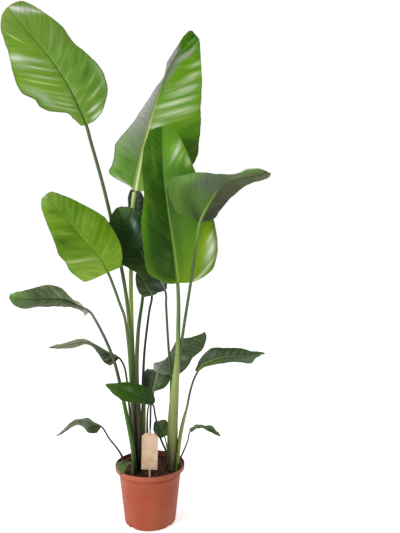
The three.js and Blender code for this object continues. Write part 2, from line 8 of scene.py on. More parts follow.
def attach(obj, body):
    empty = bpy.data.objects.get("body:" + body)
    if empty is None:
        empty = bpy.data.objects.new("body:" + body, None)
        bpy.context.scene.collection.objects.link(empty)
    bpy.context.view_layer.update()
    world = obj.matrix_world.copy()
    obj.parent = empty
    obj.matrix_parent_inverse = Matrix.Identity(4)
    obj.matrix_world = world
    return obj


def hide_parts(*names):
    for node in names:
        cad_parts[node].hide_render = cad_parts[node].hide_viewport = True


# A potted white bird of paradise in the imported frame, in metres, +Z up, with its front towards -Y.
# The shape tables are in millimetres, as in the part's own source.

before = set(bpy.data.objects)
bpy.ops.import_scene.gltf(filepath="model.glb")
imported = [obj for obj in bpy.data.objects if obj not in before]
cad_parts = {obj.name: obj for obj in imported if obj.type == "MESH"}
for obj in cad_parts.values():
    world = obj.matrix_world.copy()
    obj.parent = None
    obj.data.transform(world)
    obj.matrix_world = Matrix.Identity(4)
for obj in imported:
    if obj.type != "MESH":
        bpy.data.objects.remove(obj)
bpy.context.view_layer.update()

MM = 0.001

# Pot, soil, tag and stick
POT_HEIGHT = 200
RIM_RADIUS = 120
RIM_BAND = 15
RIM_ROUND = 1.2
RIM_INSIDE_ROUND = 2
BODY_TOP_RADIUS = 108.5
BODY_FOOT_RADIUS = 88.5
RING_HEIGHTS = (167, 168.5, 172, 173.5)
RING_RISE = 0.9
POT_WALL = 2.4
POT_SEGMENTS = 160
WALL_HEIGHTS = (60, 120)
FOOT_CORNER = 6
FOOT_WIDTH = 12
FOOT_LIFT = 5
BOSS_RADIUS = 28
FLOOR_TOP = 8
DRAIN_HOLES = 6
DRAIN_RADIUS = 5
DRAIN_CIRCLE = 48
INSIDE_FROM = 70
FOOT_NOTCHES = 4
FIRST_NOTCH = 0.57
NOTCH_WIDTH = 22
NOTCH_REACH = 6
CUT_DEPTH = 20
SOIL_TOP = 180
SOIL_CROWN = 3
SOIL_SINK = 1.5
SOIL_RINGS = 60
SOIL_SEGMENTS = 200
# Heights and scales of the soil's lumps; the crumbs' number, share of the surface, sizes, stretch,
# unevenness and rise by their size
LUMPS = ((2.4, 0.05), (1.6, 0.14), (0.9, 0.4))
CRUMBS, CRUMB_AREA = 520, 0.96
CRUMB_SIZES, CRUMB_STRETCH, CRUMB_RAGGED, CRUMB_RISE = (1.0, 3.4), (0.6, 1.3), (0.75, 1.2), 0.3
ROOT_DEPTH = 30
COLLAR = 10
TAG_WIDTH = 54
TAG_HEIGHT = 124
TAG_THICKNESS = 1.6
TAG_CLIP = 11
TAG_EYE = 2.5
TAG_BOTTOM = 208
TAG_CENTRE = (4, -74)
TAG_LEAN = 1.5
TAG_BEVEL = 0.25
STICK_WIDTH = 6
STICK_POINT, STICK_SHOULDER = 2.4, 8
STICK_CLIP = 2
STICK_BEVEL = 0.5
STICK_THICKNESS = 2.4
STICK_TOP = 346
GAP = 0.4
HOLE_CORNERS = 24

# Leaves
BLADE_THICKNESS = 0.9
TIP_HALF_WIDTH = 1.5
NECK_SHARE = 0.8
SPAN_STEPS = 24
HEADING_STEP = 3
FIRST_SEED, SEED_STEP = 0.3, 1.7
TRIM_PLACES = 20
TRIM_FADE = 0.25
# The blade: height and scale of the noise of its outline and of its edge, rise of the arch and fall
# of the edge by its half width, pitch of the pleats and where they start, pitch and bend of the veins
RAGGED, RAGGED_SCALE = 0.012, 0.05
EDGE_RIPPLE, EDGE_SCALE = 2.5, 0.03
ARCH, DROOP = 0.1, 0.05
PLEAT_PITCH, PLEAT_START = 24, 0.25
VEIN_PITCH, VEIN_BOW = 6, 0.1
# The midrib: its half width at the tip, its widest share of the blade, the columns of points across
# each half of it, and its groove above and keel below in its own half widths
TIP_RIB = 1
RIB_SHARE, RIB_ROOM = 0.2, 1.1
RIB_COLUMNS = (0.4, 0.75, 1.0)
GROOVE_DEPTH, GROOVE_WIDTH, KEEL_WIDTH = 0.4, 0.7, 1.05
# Steps along the blade, columns across each half of it, sides of the stalk and steps along it
DETAIL = {"large": (150, 14, 24, 70), "small": (84, 10, 16, 44)}


def leaf(name, size, left_trim=(), right_trim=(), **shape):
    return {"name": name, "size": size, "left_trim": left_trim, "right_trim": right_trim, **shape}


# root, stalk, rib: the line from the soil to the tip; faces: where the upper side looks at the root,
# the foot and the tip; fold, left, right: rise and half widths of the two halves; left_trim,
# right_trim: their small corrections at 20 even places from the foot, none where the row ends;
# wave: height and number of ripples; sheath: width, depth, wrap, swell and reach of the stalk's foot
LEAVES = (
    leaf(
        "leaf_top_left", "large", root=(-60, 8),
        stalk=((-61, 5, 420), (-66, 6, 630), (-78, 12, 760), (-97, 20, 875), (-131, 26, 1040),
            (-161, 6, 1180), (-193, -20, 1310), (-205, -30, 1360)),
        rib=((-260, -20, 1480), (-340, 0, 1600), (-410, -5, 1685), (-455, -40, 1740)),
        faces=((1, 0, 0), (0.1, -1, 0.1), (0.2, -1, 0.4)), fold=((12, 5), (12, 5)),
        left=(16, 20, 32, 92, 124, 152, 134, 111, 91, 79, 44),
        left_trim=(6, 1, 4, 6, -14, 6, 7, -7, -3, -4, 0, 4, 1, -1, 0, -2, -1, -1),
        right=(42, 54, 84, 115, 125, 112, 97, 95, 85, 68, 45),
        right_trim=(-10, -8, 2, 0, 0, 0, 0, 1, 1, 0, 1, 4, 9, 4, 1, 0, 1, 1),
        wave=(5, 2.5), sheath=(10, 7, 0, 0, 0.35), stem=(6.8, 5.5),
    ),
    leaf(
        "leaf_top_centre", "large", root=(-40, 22),
        stalk=((-46, 24, 300), (-56, 27, 430), (-62, 29, 560), (-67, 36, 735), (-68, 45, 875),
            (-63, 58, 1080), (-55, 60, 1150)),
        rib=((-30, 45, 1270), (5, 30, 1395), (40, 25, 1495), (90, 25, 1600), (155, 20, 1675)),
        faces=((1, 0, 0), (0.3, -0.95, 0.1), (0.7, -0.7, 0.1)), fold=((8, 42), (25, 35)),
        left=(6, 14, 104, 101, 92, 59, 27, 9, 21, 29, 28),
        left_trim=(9, 6, 5, 0, -11, -2, 10, -1, -6, -2, 0, 5, -1, 15, 3, -2, 5, 7, 8, 22),
        right=(35, 47, 113, 165, 187, 175, 156, 131, 103, 66, 30),
        right_trim=(0, 0, 0, 0, 1, 3, 6, 7, 6, 7, 5, 3, 5, 7, 8, 11, 7, 4, 7, 22),
        wave=(4, 2), sheath=(9, 8, 0, 0, 0.4), stem=(8, 7),
    ),
    leaf(
        "leaf_mid_left", "large", root=(-52, -24),
        stalk=((-58, -22, 400), (-63, -20, 500), (-70, -22, 620), (-82, -32, 720), (-95, -40, 760),
            (-110, -52, 810), (-130, -70, 870)),
        rib=((-160, -80, 930), (-210, -85, 985), (-270, -90, 1060), (-325, -110, 1120)),
        faces=((1, 0, 0), (0.1, -1, 0.1), (0, -1, 0.3)), fold=((10, 5), (10, 5)),
        left=(74, 79, 96, 104, 94, 76, 60, 42, 21),
        left_trim=(11, 22, 10, 4, 2, 1, 0, 2, -1, 5, 2, 2, 2, 3, 2, 3, 4, 4, 4, 15),
        right=(48, 54, 73, 89, 96, 82, 57, 42, 28),
        right_trim=(29, 10, 1, -1, -2, -2, -2, 0, 1, 5, 4, 4, 4, 5, 3, 0, -1, -2, 3, 2),
        wave=(4, 2), sheath=(10, 6, 0, 0, 0.5), stem=(5.4, 4.6),
    ),
    leaf(
        "leaf_centre_front", "large", root=(76, -18),
        stalk=((79, -18, 330), (87, -20, 455), (98, -24, 600), (101, -36, 705), (102, -52, 775),
            (100, -70, 835)),
        rib=((90, -85, 935), (70, -90, 1075), (55, -90, 1205), (50, -75, 1345)),
        faces=((0, -1, 0), (0.05, -1, 0.1), (0, -1, 0.1)), fold=((20, 14), (14, 12)),
        left=(26, 49, 97, 101, 95, 72, 69, 58, 34),
        left_trim=(0, 0, 5, 10, 2),
        right=(59, 85, 129, 146, 141, 121, 96, 70, 42),
        right_trim=(-6, -10, 3, 9, 3, 3, 2, 0, 1, 0, 0, 0, -1),
        wave=(3, 2), sheath=(14, 5, 9, 6, 0.6), stem=(8, 6),
    ),
    leaf(
        "leaf_right_underside", "large", root=(88, 4),
        stalk=((92, 4, 420), (102, 2, 560), (118, -40, 675), (141, -110, 820), (155, -150, 910),
            (165, -180, 980), (175, -195, 1035)),
        rib=((200, -205, 1085), (235, -207, 1135), (270, -205, 1155), (330, -200, 1170),
            (390, -195, 1180)),
        faces=((0, 1, 0), (0, 1, 0), (0, 1, 0.1)), fold=((55, 50), (4, 8)),
        left=(27, 46, 62, 69, 73, 62, 28, 19, 7),
        left_trim=(0, 2, 5, 9, 6, 0, 2, 2, 1, 2, 2, 2, 3, 7, 5, 8, 10, 12, 11, 10),
        right=(82, 90, 124, 131, 60, 22, 21, 14, 6),
        right_trim=(0, 0, 0, 0, 0, 0, 3, 7, 14, -3, -2, 0, 1, 6, 6, 7, 4, 2, -3, -1),
        wave=(3, 1.5), sheath=(8, 7, 0, 0, 0.4), stem=(5.5, 4.5),
    ),
    leaf(
        "leaf_centre_back", "large", root=(70, 8),
        stalk=((72, 8, 420), (74, 4, 500), (66, -2, 600), (58, -8, 750), (55, -15, 805)),
        rib=((-20, 5, 920), (-65, 15, 985), (-108, 10, 1088)),
        faces=((1, 0, 0), (0.1, -1, 0.1), (0, -1, 0.3)), fold=((15, 10), (15, 10)),
        left=(13, 21, 44, 63, 76, 57, 34),
        left_trim=(12, 14, 18, 19, 16, 8, -2, -6, 0, 8, 4, 0, 0, 0, 0, 0, -2, -5, -6, -4),
        right=(12, 22, 50, 68, 76, 66, 46),
        right_trim=(-13, -7, -7, -3, -1, 0, 0, 0, 0, 0, 0, 0, 0, 0, 0, 0, -2, -4, -8, 4),
        wave=(3, 2), sheath=(7, 7, 0, 0, 0.4), stem=(4.5, 4),
    ),
    leaf(
        "leaf_far_back", "large", root=(-36, -14),
        stalk=((-42, -10, 412), (-46, 4, 509), (-41, 25, 663), (-31, 70, 763), (-27, 82, 820),
            (-25, 85, 860)),
        rib=((-35, 95, 960), (-50, 100, 1065), (-55, 95, 1160)),
        faces=((0, -1, 0), (0.1, -1, 0.1), (0, -1, 0.1)), fold=((15, 10), (15, 10)),
        left=(6, 20, 36, 39, 36, 28),
        left_trim=(0, 0, 0, 0, 0, 0, 0, 0, 0, 0, 0, 0, -1, -3, -4, -1, -1, 1, 6, 4),
        right=(8, 16, 34, 41, 36, 22),
        wave=(3, 2), sheath=(16, 5, 7, 0, 0.6), stem=(7, 5),
    ),
    leaf(
        "leaf_low_back", "small", root=(-26, 4),
        stalk=((-23, 10, 400), (-24, 14, 489), (-20, 20, 584), (-11, 28, 670), (-3, 36, 732),
            (5, 40, 782)),
        rib=((-15, 40, 815), (-25, 45, 850), (-20, 45, 900)),
        faces=((0, -1, 0), (0.1, -1, 0.1), (0, -1, 0.1)), fold=((15, 10), (15, 10)),
        left=(4, 18, 30, 26, 14),
        left_trim=(8, 14, 17, 14, 11, 8, 7, 3, 2),
        right=(4, 30, 40, 36, 16),
        right_trim=(3, 6, 3, 2),
        wave=(2, 1.5), sheath=(8, 6, 0, 2, 0.6), stem=(4.4, 4),
    ),
    leaf(
        "leaf_left_drooping", "large", root=(-48, -40),
        stalk=((-53, -40, 250), (-63, -38, 314), (-76, -34, 377), (-88, -30, 433),
            (-102, -28, 500), (-120, -28, 570), (-145, -29, 635), (-180, -30, 705),
            (-200, -30, 735)),
        rib=((-235, -35, 755), (-275, -45, 775), (-335, -55, 780), (-395, -60, 780),
            (-460, -60, 790)),
        faces=((1, 0, 0), (0.1, -1, 0.5), (0, -1, 0.6)), fold=((20, 10), (30, 25)),
        left=(14, 12, 6, 15, 32, 37, 34, 30, 14),
        left_trim=(7, 15, 9, 8, 8, 7, 5, 6, -3, -5, -3, -6, -4, 3, 4, 3, 3, 2, 1),
        right=(4, 4, 5, 14, 38, 43, 36, 26, 14),
        right_trim=(-3, -4, -6, -4, 4, 6, -2, -3, 3, 4, 6, 4, 1, -1, -3, -5, -2, -4, 1, 5),
        wave=(3, 2.5), sheath=(17, 8, 0, 3, 0.45), stem=(6, 4.5),
    ),
    leaf(
        "leaf_left_twisted", "small", root=(-58, -8),
        stalk=((-60, -8, 250), (-66, -8, 340), (-73, -6, 431), (-81, -4, 510), (-89, -3, 545),
            (-105, -2, 570)),
        rib=((-135, -4, 585), (-164, -8, 603), (-190, -14, 620), (-220, -20, 630),
            (-255, -26, 625), (-295, -32, 615), (-338, -35, 613)),
        faces=((1, 0, 0), (0.2, -1, 0.5), (0.2, -1, 0.6)), fold=((10, 10), (20, 10)),
        left=(11, 24, 32, 13, 7, 14, 8, 4),
        left_trim=(0, 3, 5, 11, 7, 6, 6, 6, 2, 1, 3, 2, 1, -1, -2, 0, -1),
        right=(4, 4, 7, 7, 7, 11, 6, 3),
        right_trim=(-1, -2, -1, 0, -1, -4, -3, -3, -3, 0, 3, 2, -1, 1, 3, 5, 4, 2),
        wave=(2, 1.5), sheath=(4, 4, 0, 0, 0.4), stem=(4, 3.4),
    ),
    leaf(
        "leaf_small_left", "small", root=(-92, 4),
        stalk=((-101, 5, 226), (-119, 6, 254), (-142, 8, 282), (-170, 10, 325)),
        rib=((-190, 5, 335), (-215, 0, 347), (-240, -5, 347), (-260, -10, 341), (-282, -15, 325),
            (-300, -18, 314), (-320, -20, 303)),
        faces=((1, 0, 0.3), (0.2, -1, 0.5), (0.2, -1, 0.6)), fold=((10, 10), (10, 10)),
        left=(8, 20, 33, 30, 10, 6, 6, 3),
        left_trim=(3, 6, 11, 1, 0, 2, 2, 3, 1, 0, -1, -1, -3, -2, -3, -1, -1),
        right=(3, 4, 7, 9, 7, 7, 5, 3),
        right_trim=(-1, -1, -1, -1, -1, -2, -1, 4, 3, 3, 7, 5, 5, 3, 2, 1),
        wave=(2, 1.5), sheath=(5, 5, 0, 0, 0.4), stem=(3.2, 2.8),
    ),
    leaf(
        "leaf_small_green", "small", root=(60, -26),
        stalk=((58, -27, 250), (47, -30, 278), (37, -35, 306), (28, -44, 355), (22, -52, 388),
            (15, -60, 425)),
        rib=((-30, -80, 455), (-75, -95, 480), (-135, -110, 505)),
        faces=((1, 0, 0.3), (0.1, -1, 0.6), (0.1, -1, 0.6)), fold=((10, 10), (10, 10)),
        left=(4, 8, 15, 24, 28, 19, 8),
        left_trim=(0, 0, 0, 0, 0, 0, 0, 0, 0, 2, 3, 7, 3, 3, 3, 0, -1, -1, -2, -1),
        right=(13, 24, 39, 41, 33, 17, 7),
        right_trim=(-1, -5, -3, -2, -1, 0, 0, 0, 0, 0, 0, 0, 0, 0, 0, 0, 0, 1, 1),
        wave=(2, 1), sheath=(4.5, 4.5, 0, 0, 0.4), stem=(3.6, 3),
    ),
    leaf(
        "leaf_small_right", "small", root=(90, 26),
        stalk=((105, 18, 212), (118, 10, 241), (131, 2, 277), (140, -5, 315)),
        rib=((160, -10, 330), (190, -10, 330), (220, -10, 320), (245, -15, 300)),
        faces=((-1, 0, 0.3), (-0.1, -1, 0.5), (-0.2, -1, 0.6)), fold=((10, 10), (10, 10)),
        left=(4, 9, 10, 10, 6),
        left_trim=(0, 0, -1, -2, -4, -3, 0, -3, -2, -5, -2, 2, 1, -3, -4, 0, -2, -1, -1),
        right=(4, 9, 9, 9, 5),
        right_trim=(3, 5, 1, -1, -1, -2, -4, -3, -6, -4, 0, 2, 2, 2, 3, 2, 0, 1),
        wave=(2, 1.5), sheath=(4, 4, 0, 0, 0.4), stem=(2.8, 2.3),
    ),
    leaf(
        "leaf_right_reaching", "large", root=(95, -10),
        stalk=((101, -8, 265), (109, -4, 317), (118, 2, 357), (128, 7, 392), (139, 12, 446),
            (152, 16, 489), (165, 20, 515)),
        rib=((185, 15, 545), (215, 5, 560), (265, -5, 575), (330, -15, 580), (395, -25, 590)),
        faces=((-1, 0, 0.2), (-0.2, -1, 0.6), (-0.1, -1, 0.8)), fold=((15, 15), (30, 30)),
        left=(4, 9, 19, 38, 31, 25, 13, 5),
        left_trim=(8, 5, 3, 1, 2, 3, 4, 4, 3, 1, 1, 2, 2, 1, -1, 2, 2, 2, 2, 1),
        right=(4, 8, 13, 22, 28, 32, 28, 8),
        right_trim=(-1, -2, -2, 0, 3, 6, 4, 2, 3, 6, 3, 0, 2, 10, 14, -8, -3, -7, -4, -2),
        wave=(2, 2), sheath=(15, 7, 0, 5, 0.6), stem=(4.4, 3.6),
    ),
    leaf(
        "leaf_right_raised", "small", root=(2, -2),
        stalk=((1, -2, 307), (2, -2, 353), (4, -2, 406), (12, -2, 455), (22, -1, 493),
            (28, 3, 517)),
        rib=((48, 28, 544), (66, 48, 560), (103, 62, 586), (145, 72, 614), (192, 80, 646)),
        faces=((-1, 0, 0), (0, -1, 0), (-0.3, -1, 0.1)), fold=((15, 15), (0, 10)),
        left=(12, 20, 12, 17, 28, 18, 8),
        left_trim=(1, 2, 4, 13, 7, 2, -4, -6, -1, 3, 8, 3, -1, -6, -6, -7, -6, -7, -4, -2),
        right=(14, 30, 62, 74, 50, 46, 25),
        right_trim=(0, 0, 0, 0, 0, -2, -3, -6, -7, -3, 1, 0, 1, 0, 0, -1, -1, 0, 1),
        wave=(2, 1.5), sheath=(4.5, 4.5, 0, 0, 0.4), stem=(3.6, 3.2),
    ),
    leaf(
        "leaf_half_grey", "small", root=(-11, 14),
        stalk=((-11, 14, 301), (-10, 16, 365), (-5, 20, 399), (9, 26, 427)),
        rib=((14, 30, 457), (21, 36, 484), (26, 48, 504), (34, 75, 505), (40, 105, 488)),
        faces=((-1, 0, 0), (0, -1, 0.4), (0, 0.3, 1)), fold=((10, 10), (4, 4)),
        left=(16, 22, 42, 49, 46, 34, 17),
        right=(4, 6, 28, 46, 46, 35, 18),
        right_trim=(-2, -3, -8, -16, -20, -9, -3, -2, -1),
        wave=(2, 1), sheath=(9, 5, 0, 0, 0.75), stem=(3, 2.6),
    ),
    leaf(
        "leaf_round_low", "small", root=(68, 26),
        stalk=((65, 24, 212), (58, 15, 252), (50, 10, 290)),
        rib=((40, 5, 310), (30, 0, 335), (20, 0, 350)),
        faces=((1, 0, 0), (0, -1, 0.4), (0, -1, 0.5)), fold=((10, 10), (10, 10)),
        left=(10, 17, 24, 24, 14),
        right=(10, 17, 26, 30, 13),
        right_trim=(0, 0, 0, 0, 0, 0, 0, 0, 0, 0, 0, 1, 3, 6, 4, -2, -7, -9, -5, -2),
        wave=(1, 1), sheath=(4.5, 4.5, 0, 0, 0.4), stem=(2.6, 2.2),
    ),
    leaf(
        "leaf_over_rim", "small", root=(-54, -56),
        stalk=((-55, -58, 215), (-64, -64, 229)),
        rib=((-73, -72, 231), (-80, -84, 233), (-86, -102, 231), (-87, -116, 221),
            (-84, -122, 210)),
        faces=((1, 1, 0), (0.2, -0.6, 0.8), (0.1, -1, 0.3)), fold=((0, 0), (0, 0)),
        left=(6, 12, 18, 18, 14),
        right=(4, 7, 10, 13, 9),
        right_trim=(0, 0, 0, 0, 0, 0, 0, 0, 1, 2, 5, 4, 1, -3, -6, -7, -7, -5, -5, -2),
        wave=(1, 1), sheath=(4, 4, 0, 0, 0.4), stem=(2.4, 2),
    ),
)


def unit(v):
    return v / np.linalg.norm(v, axis=-1, keepdims=True)


def lerp(a, b, t):
    return a + (b - a) * t


def smooth(t):
    t = np.clip(t, 0, 1)
    return t * t * (3 - 2 * t)


class Spine:
    """The line from the soil through the stalk and the midrib to the tip, by length in millimetres."""

    def __init__(self, shape):
        x, y = shape["root"]
        start = [(x, y, SOIL_TOP - ROOT_DEPTH), (x, y, SOIL_TOP + COLLAR)]
        knots = np.array([*start, *shape["stalk"], *shape["rib"]], float)
        ends = np.vstack([2 * knots[0] - knots[1], knots, 2 * knots[-1] - knots[-2]])
        t = (np.arange(1, SPAN_STEPS + 1) / SPAN_STEPS)[:, None]
        line = [knots[0]]
        for p0, p1, p2, p3 in zip(ends, ends[1:], ends[2:], ends[3:]):
            d0, d1, d2 = (math.dist(a, b) ** 0.5 for a, b in ((p0, p1), (p1, p2), (p2, p3)))
            m1 = ((p1 - p0) / d0 - (p2 - p0) / (d0 + d1) + (p2 - p1) / d1) * d1
            m2 = ((p2 - p1) / d1 - (p3 - p1) / (d1 + d2) + (p3 - p2) / d2) * d1
            bend = 3 * (p2 - p1) - 2 * m1 - m2
            line.extend(p1 + m1 * t + bend * t**2 + (2 * (p1 - p2) + m1 + m2) * t**3)
        self.points = np.array(line)
        steps = np.linalg.norm(np.diff(self.points, axis=0), axis=1)
        self.lengths = np.concatenate([[0], np.cumsum(steps)])
        self.start = self.lengths[SPAN_STEPS]
        self.foot = self.lengths[SPAN_STEPS * (1 + len(shape["stalk"]))]
        self.end = self.lengths[-1]

    def at(self, length):
        axes = [np.interp(length, self.lengths, self.points[:, k]) for k in range(3)]
        return np.stack(axes, -1)

    def heading(self, length):
        ahead = self.at(np.minimum(length + HEADING_STEP, self.end))
        return unit(ahead - self.at(np.maximum(length - HEADING_STEP, 0)))


def frames_at(shape, spine, length):
    """Side and up directions at lengths on the spine, up being where the upper face looks."""
    root, foot, tip = (unit(np.array(face, float)) for face in shape["faces"])
    on_stalk = smooth((length - spine.start) / (spine.foot - spine.start))[:, None]
    on_blade = np.clip((length - spine.foot) / (spine.end - spine.foot), 0, 1)[:, None]
    up = np.where(on_blade > 0, lerp(foot, tip, on_blade), lerp(root, foot, on_stalk))
    along = spine.heading(length)
    side = unit(np.cross(along, up))
    return side, np.cross(side, along)


def half_widths(widths, angle):
    """Half widths at angles from 0 at the foot to pi at the tip, by a curve through the given ones."""
    last = len(widths)
    padded = np.array([2 * widths[0] - widths[1], *widths, 0, -widths[-1], 0], float)
    place = angle / math.pi * last
    i = np.minimum(np.floor(place).astype(int), last - 1)
    t = place - i
    a, b, c, d = (padded[i + k] for k in range(4))
    bend = (2 * a - 5 * b + 4 * c - d) * t * t + (3 * b - a - 3 * c + d) * t**3
    return np.maximum(b + 0.5 * ((c - a) * t + bend), TIP_HALF_WIDTH)


def trim_at(trims, angle):
    """The correction of a half width, fading out towards the tip."""
    places = (np.arange(TRIM_PLACES) + 0.5) * math.pi / TRIM_PLACES
    trims = np.pad(np.array(trims, float), (0, TRIM_PLACES - len(trims)))
    return np.interp(angle, places, trims) * np.clip((math.pi - angle) / TRIM_FADE, 0, 1)


def noise_line(values, scale, seed):
    return np.array([noise.noise(Vector((v * scale, seed, 0.5))) for v in values])


def half_outline(shape, look, sign, angle, length, seed):
    """Half widths of the left or right half, with a round corner at the foot and an uneven edge."""
    side = "left" if sign < 0 else "right"
    half = half_widths(shape[side], angle) + trim_at(shape[side + "_trim"], angle)
    corner = np.clip(angle / look["corner"], 0, 1)
    half = np.maximum(half * np.sqrt(corner * (2 - corner)), NECK_SHARE * shape["stem"][1])
    half[-1] = TIP_HALF_WIDTH
    return half * (1 + RAGGED * noise_line(length, RAGGED_SCALE, seed + sign) * np.sin(angle))


def vein_at(lean, share, length, across):
    """Which lateral vein a point of the blade lies on, as the length where it leaves the midrib."""
    foot, tip = lean
    return length - (foot + tip * share) * across - VEIN_BOW * across**2 / 100


def blade_rings(shape, look, spine, seed):
    """Rings round the blade: the upper face from left to right, then the lower one back."""
    steps, columns, _, _ = DETAIL[shape["size"]]
    angle = np.linspace(0, math.pi, steps + 1)
    share = (1 - np.cos(angle)) / 2
    length = lerp(spine.foot, spine.end, share)
    from_foot = length - spine.foot
    centre = spine.at(length)
    side, up = frames_at(shape, spine, length)
    rib = lerp(shape["stem"][1], TIP_RIB, share)
    height, waves = shape["wave"]
    upper, lower, facts = [], [], []
    for which, sign in enumerate((-1, 1)):
        half = half_outline(shape, look, sign, angle, length, seed)
        fold = np.radians(lerp(*shape["fold"][which], share))
        out = side * (sign * np.cos(fold))[:, None]
        normal = up * np.cos(fold)[:, None] - side * (sign * np.sin(fold))[:, None]
        edge = EDGE_RIPPLE * noise_line(length, EDGE_SCALE, seed + 5 * sign)
        rib_share = np.minimum(RIB_ROOM * rib / half, RIB_SHARE)
        shares = [rib_share * c for c in RIB_COLUMNS]
        shares += [lerp(rib_share, 1, k / columns) for k in range(1, columns + 1)]
        for w in shares:
            flat = w * half
            vein = vein_at(look["lean"][which], share, from_foot, flat)
            spread = smooth((w - rib_share) / PLEAT_START) * np.sin(angle) ** 0.5
            pleat = look["pleat"] * np.sin(2 * math.pi * vein / PLEAT_PITCH) * spread
            ripple = height * np.sin(2 * math.pi * waves * share + sign)
            ripple = (ripple + edge * w**3) * w * w * np.sin(angle)
            arch = ARCH * half * w * (1 - w) - DROOP * half * w**3
            level = flat * np.sin(fold) + ripple + pleat + arch * np.sin(angle)
            point = centre + out * flat[:, None] + up * level[:, None]
            groove = GROOVE_DEPTH * rib * np.exp(-((flat / (GROOVE_WIDTH * rib)) ** 2))
            keel = rib * np.sqrt(np.clip(1 - (flat / (KEEL_WIDTH * rib)) ** 2, 0, 1))
            upper.append(point + normal * (BLADE_THICKNESS / 2 - groove)[:, None])
            lower.append(point - normal * (BLADE_THICKNESS / 2 + keel)[:, None])
            facts.append((sign * w, share, sign * flat, from_foot))
        if sign < 0:
            for row in (upper, lower, facts):
                row.reverse()
            upper.append(centre + up * (BLADE_THICKNESS / 2 - GROOVE_DEPTH * rib)[:, None])
            lower.append(centre - up * (BLADE_THICKNESS / 2 + rib)[:, None])
            facts.append((0 * share, share, 0 * share, from_foot))
    facts = [np.stack(fact, -1) for fact in facts]
    return np.stack(upper + lower[::-1], 1), np.stack(facts + facts[::-1], 1)


def sheath_at(shape, share):
    """Half width, half depth and wrap of the stalk, which is a flat sheath at its foot."""
    width, depth, wrap, swell, reach = shape["sheath"]
    middle, top = shape["stem"]
    done = smooth(share / reach)
    radius = lerp(middle, top, (share - reach) / (1 - reach))
    swollen = swell * np.sin(math.pi * share / reach)
    above = share > reach
    return (
        np.where(above, radius, lerp(width, middle, done) + swollen),
        np.where(above, radius, lerp(depth, middle, done)),
        np.where(above, 0, lerp(wrap, 0, done)),
    )


def stalk_rings(centre, side, up, section, share, length, count):
    """Rings round the stalk, and the facts of their points."""
    half_width, half_depth, wrap = (values[:, None] for values in section)
    angle = math.pi - 2 * math.pi * (np.arange(count) + 0.5) / count
    across = half_width * np.cos(angle)
    out = half_depth * np.sin(angle) - wrap * np.cos(angle) ** 2
    points = centre[:, None] + side[:, None] * across[..., None] + up[:, None] * out[..., None]
    facts = np.broadcast_arrays(across / half_width, out / half_depth, share[:, None], length[:, None])
    return points.reshape(-1, 3), np.stack(facts, -1).reshape(-1, 4)


def bridge(start_a, count_a, start_b, count_b):
    """Triangles between two rings of any sizes, by walking round both at once."""
    faces = []
    a = b = 0
    while a < count_a or b < count_b:
        from_a, from_b = start_a + a % count_a, start_b + b % count_b
        if b == count_b or (a < count_a and (a + 1.5) / count_a < (b + 1.5) / count_b):
            a += 1
            faces.append((from_a, start_a + a % count_a, from_b))
        else:
            b += 1
            faces.append((from_a, start_b + b % count_b, from_b))
    return faces


def strips(start, rings, count):
    """Quads round and along rings of the same count, and the place of each on its ring."""
    i, j = np.meshgrid(np.arange(rings - 1), np.arange(count), indexing="ij")
    k = (j + 1) % count
    quads = np.stack([i * count + j, i * count + k, (i + 1) * count + k, (i + 1) * count + j], -1)
    return (quads + start).reshape(-1, 4).tolist(), j.ravel()


def leaf_mesh(shape, look, seed):
    """Points, faces, their material places (0 upper face, 1 lower face, 2 stalk) and the points' facts.

    The facts of a blade's point are its share across from the midrib (-1 to 1), its share along, and
    both in millimetres. Those of a stalk's are where it is round the stalk, its share along and length.
    """
    spine = Spine(shape)
    _, _, sides, steps = DETAIL[shape["size"]]
    blade, blade_facts = blade_rings(shape, look, spine, seed)
    rings, count = blade.shape[:2]
    neck = spine.foot - shape["stem"][1]
    climb = lerp(spine.start, neck, np.arange(1, steps + 1) / steps)
    length = np.concatenate([[0, spine.start], climb])
    share = np.clip((length - spine.start) / (spine.foot - spine.start), 0, 1)
    side, up = frames_at(shape, spine, length)
    section, centre = sheath_at(shape, share), spine.at(length)
    points, facts = [], []
    for pick, around in ((slice(0, steps + 1), sides), (slice(steps + 1, None), count)):
        dims = [values[pick] for values in section]
        made = stalk_rings(centre[pick], side[pick], up[pick], dims, share[pick], length[pick], around)
        points.append(made[0])
        facts.append(made[1])
    points.append(blade.reshape(-1, 3))
    facts.append(blade_facts.reshape(-1, 4))

    top = (steps + 1) * sides
    tip = top + rings * count
    stalk, _ = strips(0, steps + 1, sides)
    joint = bridge(top - sides, sides, top, count)
    quads, places = strips(top, rings + 1, count)
    ends = [list(range(sides))[::-1], list(range(tip, tip + count))]
    skin = [0 if j < count // 2 or j == count - 1 else 1 for j in places[count:]]
    kinds = [2] * (len(stalk) + len(joint) + count) + skin + [2, 0]
    return np.vstack(points), stalk + joint + quads + ends, kinds, np.vstack(facts)


# Materials

HAZE = 0.022
LIGHT_SHARE = 0.66


def srgb(code):
    """The linear colour of a code such as #a1b2c3."""
    parts = [int(code[i:i + 2], 16) / 255 for i in (1, 3, 5)]
    return (*(c / 12.92 if c <= 0.04045 else ((c + 0.055) / 1.055) ** 2.4 for c in parts), 1)


def seen(code):
    """The surface colour that looks like this one in the studio light, with its haze of gloss."""
    return (*(max(c - HAZE, 0.003) * LIGHT_SHARE for c in srgb(code)[:3]), 1)


